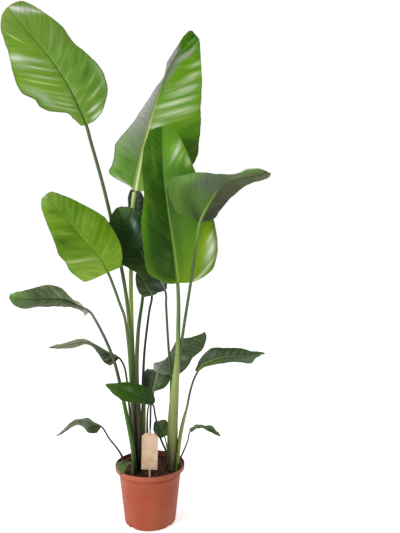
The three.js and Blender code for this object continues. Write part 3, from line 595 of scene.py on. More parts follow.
class Nodes:
    """Short ways to add nodes to a tree."""

    def __init__(self, tree):
        self.tree = tree

    def feed(self, socket, value):
        if isinstance(value, bpy.types.NodeSocket):
            self.tree.links.new(value, socket)
        else:
            socket.default_value = value

    def node(self, kind, inputs, **settings):
        made = self.tree.nodes.new(kind)
        for key, value in settings.items():
            setattr(made, key, value)
        for key, value in inputs.items():
            self.feed(made.inputs[key], value)
        return made

    def math(self, operation, *values):
        return self.node("ShaderNodeMath", dict(enumerate(values)), operation=operation).outputs[0]

    def times(self, a, b):
        return self.math("MULTIPLY", a, b)

    def plus(self, a, b):
        return self.math("ADD", a, b)

    def level(self, value, low, high, to_low=0.0, to_high=1.0):
        """A value mapped smoothly from low..high to to_low..to_high."""
        inputs = dict(enumerate((value, low, high, to_low, to_high)))
        return self.node("ShaderNodeMapRange", inputs, interpolation_type="SMOOTHSTEP").outputs[0]

    def split(self, vector):
        return self.node("ShaderNodeSeparateXYZ", {0: vector}).outputs

    def vector(self, x, y, z):
        return self.node("ShaderNodeCombineXYZ", {0: x, 1: y, 2: z}).outputs[0]

    def where(self, space="Object"):
        return self.node("ShaderNodeTexCoord", {}).outputs[space]


class Shader(Nodes):
    """One Principled material and its usual nodes."""

    def __init__(self, name, specular):
        self.material = bpy.data.materials.new(name)
        self.material.use_nodes = True
        super().__init__(self.material.node_tree)
        self.bsdf = self.tree.nodes["Principled BSDF"]
        self.bsdf.inputs["Specular IOR Level"].default_value = specular

    def attribute(self, name):
        return self.split(self.node("ShaderNodeAttribute", {}, attribute_name=name).outputs["Vector"])

    def stretched(self, vector, z):
        return self.node("ShaderNodeMapping", {"Vector": vector, "Scale": (1, 1, z)}).outputs[0]

    def noise(self, vector, scale, detail=2.0, roughness=0.5):
        inputs = {"Vector": vector, "Scale": scale, "Detail": detail, "Roughness": roughness}
        return self.node("ShaderNodeTexNoise", inputs).outputs[0]

    def mix(self, factor, a, b):
        return self.node("ShaderNodeMix", {0: factor, 6: a, 7: b}, data_type="RGBA").outputs[2]

    def tint(self, factor, colour, code):
        return self.mix(factor, colour, seen(code))

    def ramp(self, factor, stops):
        made = self.node("ShaderNodeValToRGB", {0: factor})
        ramp = made.color_ramp
        ramp.interpolation = "EASE"
        while len(ramp.elements) < len(stops):
            ramp.elements.new(1)
        for element, (place, code) in zip(ramp.elements, stops.items()):
            element.position = place
            element.color = seen(code)
        return made.outputs[0]

    def finish(self, colour, roughness, height, depth, strength):
        bump = self.node("ShaderNodeBump", {"Strength": strength, "Distance": depth, "Height": height})
        for name, value in (("Base Color", colour), ("Roughness", roughness), ("Normal", bump.outputs[0])):
            self.feed(self.bsdf.inputs[name], value)
        return self.material


def with_sheen_and_shade(s, colour, side, vein, streak, patches):
    """Soft oval patches on a blade, broken up by its streaks: mostly painted highlights, painted sheen and
    painted shade.
    """
    for mid_side, mid_vein, wide, long, code, amount, broken, *tilt in patches:
        slant = tilt[0] if tilt else 0
        x = s.math("MULTIPLY_ADD", side, 1 / wide, -mid_side / wide)
        y = s.math("MULTIPLY_ADD", vein, 1 / long, (slant * mid_side - mid_vein) / long)
        if slant:
            y = s.math("MULTIPLY_ADD", side, -slant / long, y)
        far = s.math("MULTIPLY_ADD", x, x, s.times(y, y))
        mask = s.math("EXPONENT", s.times(far, -1))
        kept = s.level(streak, 0.36, 0.56, amount * (1 - broken), amount)
        colour = s.tint(s.times(mask, kept), colour, code)
    return colour


def blade_face(name, look, stem, seed, lower):
    """Upper or lower face of a blade: two toned halves, whose tones hold painted shade and sheen on several
    leaves, lateral veins, midrib, margin and patches of painted highlight, sheen and shade.
    """
    tones = look["under"] if lower else look
    s = Shader(name, 0.2 if lower else look["shine"])
    side, share, _ = s.attribute("leaf_at")
    across, along, _ = s.attribute("leaf_dm")
    flat, out = s.math("ABSOLUTE", across), s.math("ABSOLUTE", side)
    right = s.math("GREATER_THAN", side, 0)
    foot_lean, tip_lean = (s.level(right, 0, 1, *pair) for pair in zip(*look["lean"]))
    lean = s.math("MULTIPLY_ADD", tip_lean, share, foot_lean)
    bowed = s.times(s.times(flat, flat), VEIN_BOW)
    vein = s.math("SUBTRACT", along, s.math("MULTIPLY_ADD", flat, lean, bowed))
    blend = s.level(share, 0.7, 1, 0.04, 0.4)
    halves = s.level(side, s.times(blend, -1), blend)
    # On several leaves the two halves' colours are painted shade and sheen, by how each half faces the light.
    colour = s.mix(halves, s.ramp(share, tones["left"]), s.ramp(share, tones["right"]))

    streak = s.noise(s.vector(s.times(vein, 11), s.times(out, 1.4), seed), 1, 3, 0.6)
    fine = s.noise(s.vector(s.times(vein, 42), s.times(out, 2), seed + 3), 1)
    cloud = s.noise(s.vector(s.times(along, 1.3), s.times(across, 1.6), seed), 1)
    colour = s.tint(s.level(streak, 0.5, 0.72, 0, look["streaks"]), colour, tones["light"])
    colour = s.tint(s.level(streak, 0.5, 0.28, 0, look["streaks"]), colour, tones["dark"])
    colour = s.tint(s.level(fine, 0.45, 0.7, 0, 0.16), colour, tones["dark"])
    colour = s.tint(s.level(cloud, 0.55, 0.75, 0, 0.2), colour, tones["light"])
    # Painted highlights, sheen and shade, laid on in soft patches.
    colour = with_sheen_and_shade(s, colour, side, vein, streak, look["under_patches" if lower else "patches"])
    colour = s.tint(s.level(out, 0.955, 0.99, 0, look["margin"]), colour, tones["edge"])

    rib = s.times(s.math("SUBTRACT", 1, s.times(share, 1 - TIP_RIB / stem)), stem / 100)
    width = 1.15 if lower else look["rib_width"]
    cover = s.level(share, 0.8, 0.97, look["rib_cover"], 0.15)
    ribbed = s.level(s.math("DIVIDE", flat, rib), width, 0.6 * width, 0, cover)
    colour = s.mix(ribbed, colour, s.ramp(share, tones["rib"]))
    wave = s.math("SINE", s.times(vein, 2 * math.pi * 100 / VEIN_PITCH))
    ridges = s.times(wave, 0.12 if lower else 0.3)
    height = s.plus(s.plus(ridges, s.times(streak, 1.4)), s.times(fine, 0.5))
    dull, glossy = (0.68, 0.58) if lower else (0.5, 0.37)
    return s.finish(colour, s.level(streak, 0.3, 0.7, dull, glossy), height, 0.0009, 0.5)


def stalk_skin(name, look, seed):
    """Smooth stalk with fine lengthwise streaks, from the soil (0) to the foot of the blade (1)."""
    s = Shader(name, 0.4)
    across, out, share = s.attribute("leaf_at")
    _, along, _ = s.attribute("leaf_dm")
    around = s.vector(s.times(across, 2.6), s.times(out, 2.6), s.times(along, 0.5))
    shifted = s.node("ShaderNodeVectorMath", {0: around, 1: (seed, seed, seed)}).outputs[0]
    streak, fine = s.noise(shifted, 1.6, 3, 0.6), s.noise(shifted, 6)
    colour = s.ramp(share, look["stalk"])
    colour = s.tint(s.level(streak, 0.5, 0.75, 0, look["stalk_streaks"]), colour, "#a8b878")
    colour = s.tint(s.level(streak, 0.5, 0.25, 0, look["stalk_streaks"]), colour, "#23301a")
    colour = s.tint(s.level(fine, 0.5, 0.7, 0, 0.2), colour, "#2c3a1e")
    height = s.plus(streak, s.times(fine, 0.4))
    return s.finish(colour, s.level(streak, 0.3, 0.7, 0.5, 0.38), height, 0.0008, 0.5)


# How each leaf looks. left, right, rib and stalk are colours along the piece, by share from 0 to 1.
# On several leaves left and right hold painted light: the grey left half of leaf_top_centre is a painted
# sheen, the dark left and bright right halves of leaf_centre_front are painted shade and painted light.
# light, dark, edge: colours of streaks and margin; lean: how far the veins of each half run forward
# at the foot, and how much more at the tip; pleat: its height; corner: how round the foot is.
# streaks, margin, rib_cover: how strong they are; rib_width: in half widths of the rib.
# patches: mostly painted highlights, painted sheen and painted shade; each is side, vein in decimetres, half
# width and length, colour, amount, how broken up, and a tilt.

BRIGHT = {
    "left": {0: "#75983f", 0.5: "#739a40", 1: "#7ca148"},
    "right": {0: "#658a36", 0.5: "#6a8f3c", 1: "#789a48"},
    "rib": {0: "#456a1c", 0.6: "#4c7022", 1: "#68903a"},
    "light": "#9dba70", "dark": "#54782a", "edge": "#4d5f38", "shine": 0.1, "slot": "leaf_bright",
}
DARK = {
    "left": {0: "#3a4e2c", 0.5: "#33482a", 1: "#3f5432"},
    "right": {0: "#384c2a", 0.5: "#2f4424", 1: "#384c2c"},
    "rib": {0: "#7a8c60", 0.5: "#667a4c", 1: "#56683e"},
    "light": "#6c8060", "dark": "#1f3018", "edge": "#66744e", "shine": 0.32, "slot": "leaf_dark",
}
PALE_UNDER = {
    "left": {0: "#586c40", 0.5: "#5c7046", 1: "#64784e"},
    "right": {0: "#586c40", 0.5: "#5c7046", 1: "#64784e"},
    "rib": {0: "#8a9c64", 0.5: "#80925c", 1: "#748854"},
    "light": "#7d8d68", "dark": "#40542f", "edge": "#525e3c",
}
BASE_LOOK = {
    "lean": ((0.5, 0.5), (0.5, 0.5)), "pleat": 0.7, "corner": 0.3, "streaks": 0.5, "margin": 0.5,
    "rib_cover": 0.85, "rib_width": 0.9, "patches": (), "under": PALE_UNDER, "under_patches": (),
    "stalk": {0: "#3c4028", 0.3: "#4c5a34", 0.6: "#485a36", 1: "#4c5c3c"}, "stalk_streaks": 0.3,
}
# Thin stalks, nearly black above their foot: painted shade of the clump.
SHADED_WIRY = {0: "#4c5634", 0.25: "#1e2418", 1: "#232a1c"}


def look_of(kind, **changes):
    """The look of a bright or dark leaf, with its own changes."""
    return {**BASE_LOOK, **kind, **changes}


LOOKS = {
    "leaf_top_left": look_of(
        BRIGHT, rib_width=0.6, rib_cover=1, streaks=0.32, lean=((0.4, 0.5), (0.05, 1.1)),
        left={0: "#7ba046", 0.5: "#7da63e", 0.75: "#82aa42", 1: "#a8cc66"},
        right={0: "#6a8e38", 0.4: "#6c9440", 0.7: "#70963e", 1: "#8ab052"},
        rib={0: "#47730f", 0.55: "#4b7718", 0.75: "#6f9a36", 0.85: "#86ad48", 1: "#a2c660"},
        stalk={0: "#4c5a34", 0.4: "#5a7a34", 0.6: "#62744a", 1: "#54644a"},
        patches=(
            (0.3, 4.32, 0.36, 0.2, "#f8fbf5", 1, 0, -1.5), (0.78, 3.5, 0.16, 0.13, "#d9e5d0", 0.9, 0.2, -2.2),
            (-0.63, 3.38, 0.2, 0.045, "#cdec8c", 1, 0, -0.8), (0, 3.55, 0.14, 0.4, "#5f8a2e", 0.5, 0.2),
            (-0.8, 2.38, 0.26, 0.16, "#dbe6d0", 1, 0.15), (-0.45, 2.4, 0.3, 0.1, "#b4d09c", 0.85, 0.4),
            (-0.42, 2.03, 0.26, 0.05, "#cfe2ba", 0.95, 0.1), (-0.75, 2, 0.2, 0.2, "#a5bc90", 0.6, 0.5),
            (-0.45, 1.65, 0.24, 0.045, "#b9d098", 0.85, 0.2), (-0.5, 1.39, 0.28, 0.04, "#bfd980", 0.85, 0.2),
            (-0.45, 1.07, 0.3, 0.035, "#a8cc78", 0.75, 0.3), (-0.34, 0.88, 0.2, 0.035, "#b4d28e", 0.75, 0.2),
            (-0.4, 0.66, 0.22, 0.04, "#c3d8a4", 0.8, 0.2), (-0.48, 0.48, 0.2, 0.035, "#b4cc94", 0.75, 0.2),
            (-0.76, 0.75, 0.14, 0.3, "#aebda0", 0.8, 0.3), (-0.97, 0.55, 0.09, 0.35, "#5b7430", 0.7, 0.2),
            (0.6, 1.15, 0.24, 0.12, "#4a6e2c", 0.75, 0.35), (0.62, 1.62, 0.26, 0.1, "#52782e", 0.6, 0.4),
            (0.55, 0.78, 0.24, 0.06, "#557c30", 0.6, 0.3), (0.6, 0.6, 0.26, 0.045, "#a9c892", 0.8, 0.2),
            (0.62, 0.92, 0.22, 0.035, "#94ba70", 0.7, 0.2), (0.52, 0.3, 0.22, 0.045, "#cbdac0", 0.9, 0.25),
            (0.72, 0.1, 0.26, 0.05, "#cfdcc6", 0.9, 0.25), (0.93, 0.75, 0.07, 0.3, "#a3bd92", 0.6, 0.2),
            (0.5, 2.75, 0.32, 0.07, "#9ab884", 0.5, 0.3), (0.52, 2.35, 0.32, 0.06, "#98b67e", 0.45, 0.3),
        ),
    ),
    "leaf_top_centre": look_of(
        BRIGHT, lean=((0.2, 0.2), (0.5, 0.3)), rib_width=1.5, rib_cover=1, streaks=0.3, light="#a3b884",
        dark="#40701a",
        left={
            0: "#86be48", 0.16: "#8cc25c", 0.28: "#b0d09c", 0.4: "#ccd6c4", 0.6: "#dcdcda", 0.84: "#d4d4d0",
            0.9: "#64962e", 1: "#568428",
        },
        right={
            0: "#8eb050", 0.2: "#587a24", 0.36: "#52781c", 0.42: "#6c9c20", 0.6: "#70a416", 0.8: "#70a01e",
            0.94: "#60961e", 1: "#44801a",
        },
        rib={0: "#e2f4ac", 0.35: "#dcf096", 0.6: "#bcd678", 0.75: "#98b86c", 1: "#5c8830"},
        stalk={
            0: "#5a6038", 0.3: "#6f7c44", 0.48: "#8c9a50", 0.58: "#b6cc58", 0.75: "#b4c868", 0.93: "#c0d884",
            1: "#d8ec9c",
        },
        patches=(
            (-0.62, 0.3, 0.3, 0.14, "#5c9624", 0.5, 0.5), (-0.76, 0.12, 0.12, 0.07, "#e6eedd", 0.95, 0.2),
            (-0.45, 0.3, 0.1, 0.12, "#a5c67e", 0.6, 0.5), (-0.9, 0.55, 0.1, 0.2, "#a5b890", 0.7, 0.3),
            (-0.5, 0.75, 0.25, 0.2, "#5f9430", 0.55, 0.5), (0.05, 4.1, 0.12, 0.45, "#9b9c94", 0.85, 0.1, 3),
            (0.3, 4.85, 0.32, 0.18, "#a8aa9e", 0.9, 0.15, 1.4),
            (0.3, 5.2, 0.35, 0.12, "#356610", 0.85, 0.2, 1.4),
            (0.2, 5.45, 0.3, 0.07, "#8cb85c", 0.8, 0.2, 0.6),
            (0.78, 4.42, 0.24, 0.1, "#b9cf98", 0.85, 0.3, 0.5),
            (0.72, 4.12, 0.24, 0.05, "#40741a", 0.7, 0.3, 0.5),
            (0.72, 3.82, 0.26, 0.13, "#c8d9ac", 0.95, 0.3, 0.4),
            (0.6, 3.6, 0.26, 0.07, "#b2c88e", 0.75, 0.4, 0.2),
            (0.45, 3.38, 0.4, 0.045, "#437a16", 0.7, 0.2, 0.1), (0.6, 3.24, 0.3, 0.15, "#c6d8ae", 1, 0.3),
            (0.45, 3, 0.45, 0.035, "#4c8418", 0.75, 0.1, -0.1),
            (0.42, 2.84, 0.42, 0.1, "#cfdfb6", 1, 0.2, -0.1),
            (0.45, 2.66, 0.45, 0.035, "#548c1c", 0.75, 0.1, -0.2),
            (0.5, 2.42, 0.45, 0.16, "#c0d6a0", 1, 0.35, -0.3),
            (0.12, 2.2, 0.14, 0.1, "#d4e2bd", 0.9, 0.2, -0.2),
            (0.5, 2.12, 0.35, 0.07, "#94b85c", 0.7, 0.4, -0.4), (0.93, 3.1, 0.1, 0.9, "#7aa830", 0.7, 0.2),
            (0.8, 1.5, 0.3, 0.28, "#4a8014", 0.7, 0.3), (0.85, 0.9, 0.25, 0.35, "#44661f", 0.7, 0.3),
        ),
    ),
    "leaf_mid_left": look_of(
        BRIGHT, lean=((0.6, 0.2), (0, 1)), rib_width=0.6, streaks=0.4, corner=0.55, light="#93b458",
        dark="#4c7420",
        left={0: "#96ba4e", 0.35: "#769c38", 0.5: "#62862c", 0.75: "#7aa638", 0.9: "#84b03e", 1: "#98ba60"},
        right={0: "#7a9e34", 0.4: "#6c922c", 0.7: "#648c28", 1: "#80a44a"},
        rib={0: "#5c8024", 0.3: "#89aa4c", 0.6: "#7a9c3c", 1: "#5a7e2a"},
        stalk={0: "#4c4e30", 0.35: "#585e32", 0.5: "#5e7e34", 0.75: "#64784c", 1: "#5a6a48"},
        patches=(
            (-0.7, 1.25, 0.24, 0.13, "#43661c", 0.85, 0.3), (-0.45, 1.02, 0.3, 0.05, "#4f7420", 0.7, 0.3),
            (-0.6, 0.5, 0.36, 0.06, "#c6d9a0", 0.9, 0.25), (-0.55, 0.3, 0.3, 0.12, "#8fb04a", 0.6, 0.4),
            (-0.55, 0.72, 0.3, 0.05, "#547a22", 0.6, 0.3), (-0.35, 2.55, 0.3, 0.14, "#53782a", 0.75, 0.3),
            (0.25, 3, 0.3, 0.1, "#54782c", 0.5, 0.3), (-0.45, 1.85, 0.4, 0.06, "#537c22", 0.55, 0.3),
            (-0.5, 1.6, 0.4, 0.04, "#8bb04c", 0.55, 0.3), (-0.5, 2.15, 0.4, 0.05, "#86ac48", 0.5, 0.3),
            (-0.05, 3.2, 0.6, 0.08, "#dbe6cc", 0.75, 0.4), (0.5, 0.5, 0.4, 0.06, "#86aa44", 0.5, 0.3),
            (0.5, 1, 0.4, 0.05, "#53782a", 0.5, 0.3), (0.5, 1.45, 0.4, 0.05, "#86aa4a", 0.5, 0.3),
            (0.5, 1.9, 0.4, 0.05, "#4f7626", 0.5, 0.3),
        ),
    ),
    "leaf_centre_front": look_of(
        BRIGHT, rib_cover=1, rib_width=1.1, lean=((0.7, 0.4), (0.7, 0.3)), streaks=0.16, light="#83a348",
        dark="#2c4814", edge="#6b7440",
        left={0: "#6c9430", 0.05: "#456228", 0.2: "#38541c", 0.5: "#406018", 0.8: "#436c10", 1: "#4c7814"},
        right={
            0: "#7c9c2c", 0.2: "#6c9020", 0.35: "#4e7418", 0.5: "#385c10", 0.68: "#52860c", 0.85: "#6a9e10",
            1: "#5c8c16",
        },
        rib={0: "#86a850", 0.5: "#74984a", 0.8: "#64904a", 1: "#4c7a20"},
        stalk={0: "#75704c", 0.2: "#8a9452", 0.5: "#a0b464", 0.62: "#98aa5c", 0.75: "#688440", 1: "#68804c"},
        patches=(
            (-0.93, 0.9, 0.14, 1.5, "#649a2a", 0.8, 0.2), (-0.75, 0.35, 0.34, 0.6, "#41661f", 0.6, 0.3),
            (-0.6, -0.25, 0.5, 0.14, "#5f8c26", 0.8, 0.3), (-0.4, 0.7, 0.3, 0.09, "#435a38", 0.6, 0.3),
            (-0.45, 0.45, 0.3, 0.05, "#52684c", 0.5, 0.3), (-0.5, 3.9, 0.14, 0.3, "#6c9a3c", 0.6, 0.4, -2.5),
            (0.62, 3.85, 0.26, 0.14, "#dbe8c6", 0.9, 0.35, 0.3),
            (0.45, 4.05, 0.16, 0.12, "#9cc46a", 0.7, 0.5, 0.5),
            (0.68, 3.5, 0.2, 0.12, "#a8cc78", 0.7, 0.5, 0.2), (0.9, 3.1, 0.12, 0.2, "#bcd89a", 0.8, 0.3),
            (0.35, 2.6, 0.22, 0.5, "#3f6416", 0.6, 0.2), (0.12, 1.4, 0.12, 1.5, "#3c6410", 0.7, 0.1),
            (0.36, 1.1, 0.2, 1, "#56841a", 0.7, 0.2), (0.78, 0.3, 0.24, 0.55, "#8cb030", 0.85, 0.3),
            (0.86, -0.1, 0.12, 0.18, "#dfead0", 0.95, 0.4), (0.84, 0.22, 0.1, 0.1, "#cfdfae", 0.8, 0.5),
            (0.84, -0.4, 0.13, 0.08, "#d6e5ba", 0.85, 0.4), (0.45, -0.28, 0.4, 0.08, "#6a7834", 0.6, 0.4),
            (0.96, 0.2, 0.04, 1, "#6b7a3a", 0.6, 0.4),
        ),
    ),
    "leaf_right_underside": look_of(
        DARK, slot="leaf_underside", stalk_streaks=0.15, pleat=0.2, streaks=0.3,
        stalk={0: "#5f6a3c", 0.5: "#5a7040", 0.7: "#4e6438", 0.85: "#4a6432", 1: "#6f9838"},
        under={
            **PALE_UNDER, "edge": "#7c9460",
            "left": {0: "#4a503c", 0.25: "#52543e", 0.5: "#5c6048", 1: "#687050"},
            "right": {0: "#4f7030", 0.2: "#567638", 0.4: "#606e58", 0.7: "#747c60", 1: "#646c4e"},
            "rib": {0: "#85ac50", 0.3: "#74983f", 0.45: "#52683a", 1: "#4c523c"},
        },
        under_patches=(
            (0.88, 0.1, 0.2, 0.5, "#76a24c", 0.85, 0.2), (0.5, -0.1, 0.25, 0.3, "#3f602a", 0.5, 0.2),
            (0.2, 0, 0.2, 0.12, "#38462a", 0.8, 0.1), (-0.3, 0.1, 0.4, 0.2, "#3c4030", 0.75, 0.1),
            (0.85, 2.1, 0.4, 0.4, "#6c9a3c", 0.9, 0.2), (0.97, 1.9, 0.1, 0.22, "#d3e4c4", 0.9, 0.3),
            (0.7, 2.62, 0.4, 0.1, "#33481e", 0.8, 0.1), (-0.4, 1.2, 0.6, 0.5, "#565440", 0.5, 0.4),
        ),
    ),
    "leaf_centre_back": look_of(
        DARK, rib_width=0.6, rib_cover=1, streaks=0.25, shine=0.12,
        left={0: "#42504a", 0.12: "#3c4c3a", 0.3: "#485c34", 0.5: "#385228", 0.7: "#3a542c", 1: "#465e36"},
        right={0: "#303c34", 0.15: "#34452e", 0.4: "#22440f", 0.75: "#284c12", 1: "#587448"},
        rib={0: "#8a9a90", 0.5: "#6c8068", 1: "#40552f"},
        patches=(
            (0.46, 2.3, 0.13, 0.17, "#9fb0a8", 0.85, 0.3), (0.4, 2.1, 0.1, 0.22, "#6f8478", 0.4, 0.4),
            (0.3, 0.2, 0.5, 0.12, "#6c7870", 0.5, 0.6), (-0.3, 0.15, 0.5, 0.08, "#76847c", 0.5, 0.6),
        ),
    ),
    "leaf_far_back": look_of(
        DARK,
        stalk={0: "#3e3828", 0.3: "#453f2c", 0.45: "#68744c", 0.7: "#5a784c", 1: "#4a6640"},
    ),
    "leaf_low_back": look_of(
        DARK, stalk_streaks=0.12, margin=0.8, edge="#88967a",
        left={0: "#46543a", 0.3: "#566648", 0.6: "#4a5a3c", 1: "#3c4c30"},
        stalk={
            0: "#2c3018", 0.15: "#4c582a", 0.27: "#7c9240", 0.36: "#5c6a34", 0.44: "#2a2b22", 1: "#2a2a26",
        },
    ),
    "leaf_left_drooping": look_of(
        DARK, streaks=0.45, light="#8a967a", dark="#34452a",
        left={0: "#d8dbd0", 0.13: "#9ca48f", 0.25: "#5f6b4c", 0.7: "#5c684a", 0.86: "#627c42", 1: "#6c9c48"},
        right={0: "#e6e8df", 0.15: "#bac2ad", 0.28: "#5a6c44", 0.7: "#485e34", 0.86: "#628440", 1: "#74a44c"},
        rib={0: "#5c6c48", 0.3: "#35481f", 0.8: "#3c5426", 1: "#4c6a34"},
        stalk={0: "#3e4a2a", 0.2: "#55803a", 0.38: "#527834", 0.6: "#465a34", 0.85: "#5f6959", 1: "#80847a"},
        patches=(
            (0.4, 1, 0.5, 0.07, "#8a9a78", 0.7, 0.3), (0.5, 0.72, 0.5, 0.08, "#8a9a78", 0.6, 0.3),
            (-0.75, 0.9, 0.25, 0.6, "#87907a", 0.5, 0.4),
        ),
    ),
    "leaf_left_twisted": look_of(
        DARK, light="#a3a894",
        left={0: "#33442a", 0.12: "#435238", 0.3: "#6c765e", 0.5: "#7c8668", 1: "#868f72"},
        right={0: "#56624a", 0.12: "#6c7562", 0.3: "#9a9e8d", 0.7: "#8a9078", 1: "#7c865e"},
    ),
    "leaf_small_left": look_of(
        DARK, light="#9aa28a", stalk=SHADED_WIRY,
        left={0: "#4a5a38", 0.4: "#67745c", 0.7: "#868e78", 1: "#8d9080"},
        right={0: "#76806a", 0.4: "#6c7a5a", 1: "#82887a"},
    ),
    "leaf_small_green": look_of(
        DARK, streaks=0.2, shine=0.2, light="#567a3c", stalk=SHADED_WIRY,
        left={0: "#4a5c3c", 0.35: "#486c34", 0.6: "#4a7028", 1: "#5c8440"},
        right={0: "#3a4e2e", 0.4: "#42602c", 0.7: "#466a28", 1: "#5a7e36"},
        rib={0: "#35502a", 1: "#3c5a2a"},
        patches=((0.35, 0.9, 0.2, 0.14, "#6f8c62", 0.7, 0.3),),
    ),
    "leaf_small_right": look_of(
        DARK, streaks=0.7, stalk=SHADED_WIRY,
        left={0: "#5a6a48", 0.35: "#70805c", 0.6: "#50663c", 1: "#5c7046"},
        right={0: "#4c5c3a", 0.3: "#6c7a58", 0.65: "#40562c", 1: "#526640"},
    ),
    "leaf_right_reaching": look_of(
        DARK, streaks=0.28,
        left={0: "#3e5a24", 0.2: "#2f4c20", 0.7: "#385426", 1: "#4b6336"},
        right={0: "#5c7836", 0.3: "#5a703a", 0.5: "#53683e", 0.8: "#667a58", 1: "#6c8060"},
        rib={0: "#9aac74", 0.5: "#8a9c68", 1: "#6c8050"},
        stalk={0: "#6c7c34", 0.35: "#84a046", 0.55: "#82965a", 0.75: "#5a6450", 1: "#525c44"},
    ),
    "leaf_right_raised": look_of(
        DARK, rib_cover=1, streaks=0.4, light="#8a9a84",
        left={0: "#aab2a6", 0.25: "#acb3a4", 0.5: "#6c7c5c", 0.75: "#4c613a", 0.9: "#54673e", 1: "#708060"},
        right={0: "#84947c", 0.25: "#6c7c62", 0.5: "#4a6038", 0.8: "#52663c", 1: "#5a6c48"},
        stalk={0: "#4c5634", 0.2: "#20261a", 0.6: "#30381e", 0.75: "#7d8868", 1: "#8a9478"},
        patches=((0.4, 0.9, 0.3, 0.12, "#9ca69a", 0.8, 0.4),),
    ),
    "leaf_half_grey": look_of(
        DARK, stalk=SHADED_WIRY,
        left={0: "#36461f", 0.3: "#4a5440", 0.55: "#6c6e60", 1: "#84867a"},
        right={0: "#407020", 0.3: "#406624", 0.55: "#4c6238", 1: "#a3a898"},
    ),
    "leaf_round_low": look_of(
        DARK,
        left={0: "#587a34", 0.5: "#4c6c36", 1: "#35462a"},
        right={0: "#6c8460", 0.5: "#4e6a34", 1: "#566048"},
    ),
    "leaf_over_rim": look_of(
        DARK,
        left={0: "#9aa07c", 0.5: "#7c9660", 1: "#4f7c30"},
        right={0: "#55633a", 0.6: "#74865a", 1: "#55803a"},
        stalk={0: "#7a8458", 1: "#a3a98c"},
    ),
}


# Pieces


def add_object(name, data):
    made = bpy.data.objects.new(name, data)
    bpy.context.scene.collection.objects.link(made)
    return made


def piece(node, mesh):
    """An object on the root body that replaces a CAD node."""
    made = add_object(node + "_look", mesh)
    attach(made, "root")
    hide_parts(node)


def rounded(mesh, sharp):
    """The mesh with smooth shading, but for the edges sharper than an angle in degrees."""
    mesh.shade_smooth()
    mesh.set_sharp_from_angle(angle=math.radians(sharp))
    return mesh


def mesh_of(name, points, faces, sharp=50):
    mesh = bpy.data.meshes.new(name)
    mesh.from_pydata((np.asarray(points, float) * MM).tolist(), [], faces)
    return rounded(mesh, sharp)


def baked(made):
    """The mesh of an object with its modifiers or its curve applied, whose object is then removed."""
    bpy.context.view_layer.update()
    mesh = bpy.data.meshes.new_from_object(made.evaluated_get(bpy.context.evaluated_depsgraph_get()))
    bpy.data.objects.remove(made)
    return mesh


def add_leaf(shape, seed):
    name = shape["name"]
    look = LOOKS[name]
    points, faces, kinds, facts = leaf_mesh(shape, look, seed)
    mesh = mesh_of(name, points, faces)
    decimetres = np.pad(facts[:, 2:] / 100, ((0, 0), (0, 1)))
    for label, values in (("leaf_at", facts[:, :3]), ("leaf_dm", decimetres)):
        layer = mesh.attributes.new(label, "FLOAT_VECTOR", "POINT")
        layer.data.foreach_set("vector", values.astype(np.float32).ravel())
    stem = shape["stem"][1]
    mesh.materials.append(blade_face(name + "_upper", look, stem, seed, False))
    mesh.materials.append(blade_face(name + "_lower", look, stem, seed, True))
    mesh.materials.append(stalk_skin(name + "_stalk", look, seed))
    mesh.polygons.foreach_set("material_index", kinds)
    piece(name, mesh)


def on_circle(radius, turn):
    return radius * np.array([math.cos(2 * math.pi * turn), math.sin(2 * math.pi * turn)])


def circle(centre, radius):
    return [centre + on_circle(radius, k / HOLE_CORNERS) for k in range(HOLE_CORNERS)]


def arc(centre, radius, start, end, steps):
    angles = np.radians(np.linspace(start, end, steps))
    return [(centre[0] + radius * math.cos(a), centre[1] + radius * math.sin(a)) for a in angles]


def lathe(profile, segments):
    """Points and faces of a profile turned on the Z axis, which starts and ends on the axis."""
    middle = profile[1:-1]
    angle = 2 * math.pi * np.arange(segments) / segments
    points = [(r * math.cos(a), r * math.sin(a), z) for r, z in middle for a in angle]
    faces, _ = strips(0, len(middle), segments)
    first, last = len(points), len(points) - segments
    points += [(0, 0, profile[0][1]), (0, 0, profile[-1][1])]
    for k in range(segments):
        n = (k + 1) % segments
        faces.append((first, n, k))
        faces.append((first + 1, last + k, last + n))
    return points, faces


def tapered(z, low, high):
    """The pot's outer radius at a height, its body's foot being at low and its top at high."""
    slope = (BODY_TOP_RADIUS - BODY_FOOT_RADIUS) / (high - low)
    return BODY_FOOT_RADIUS + (z - low) * slope


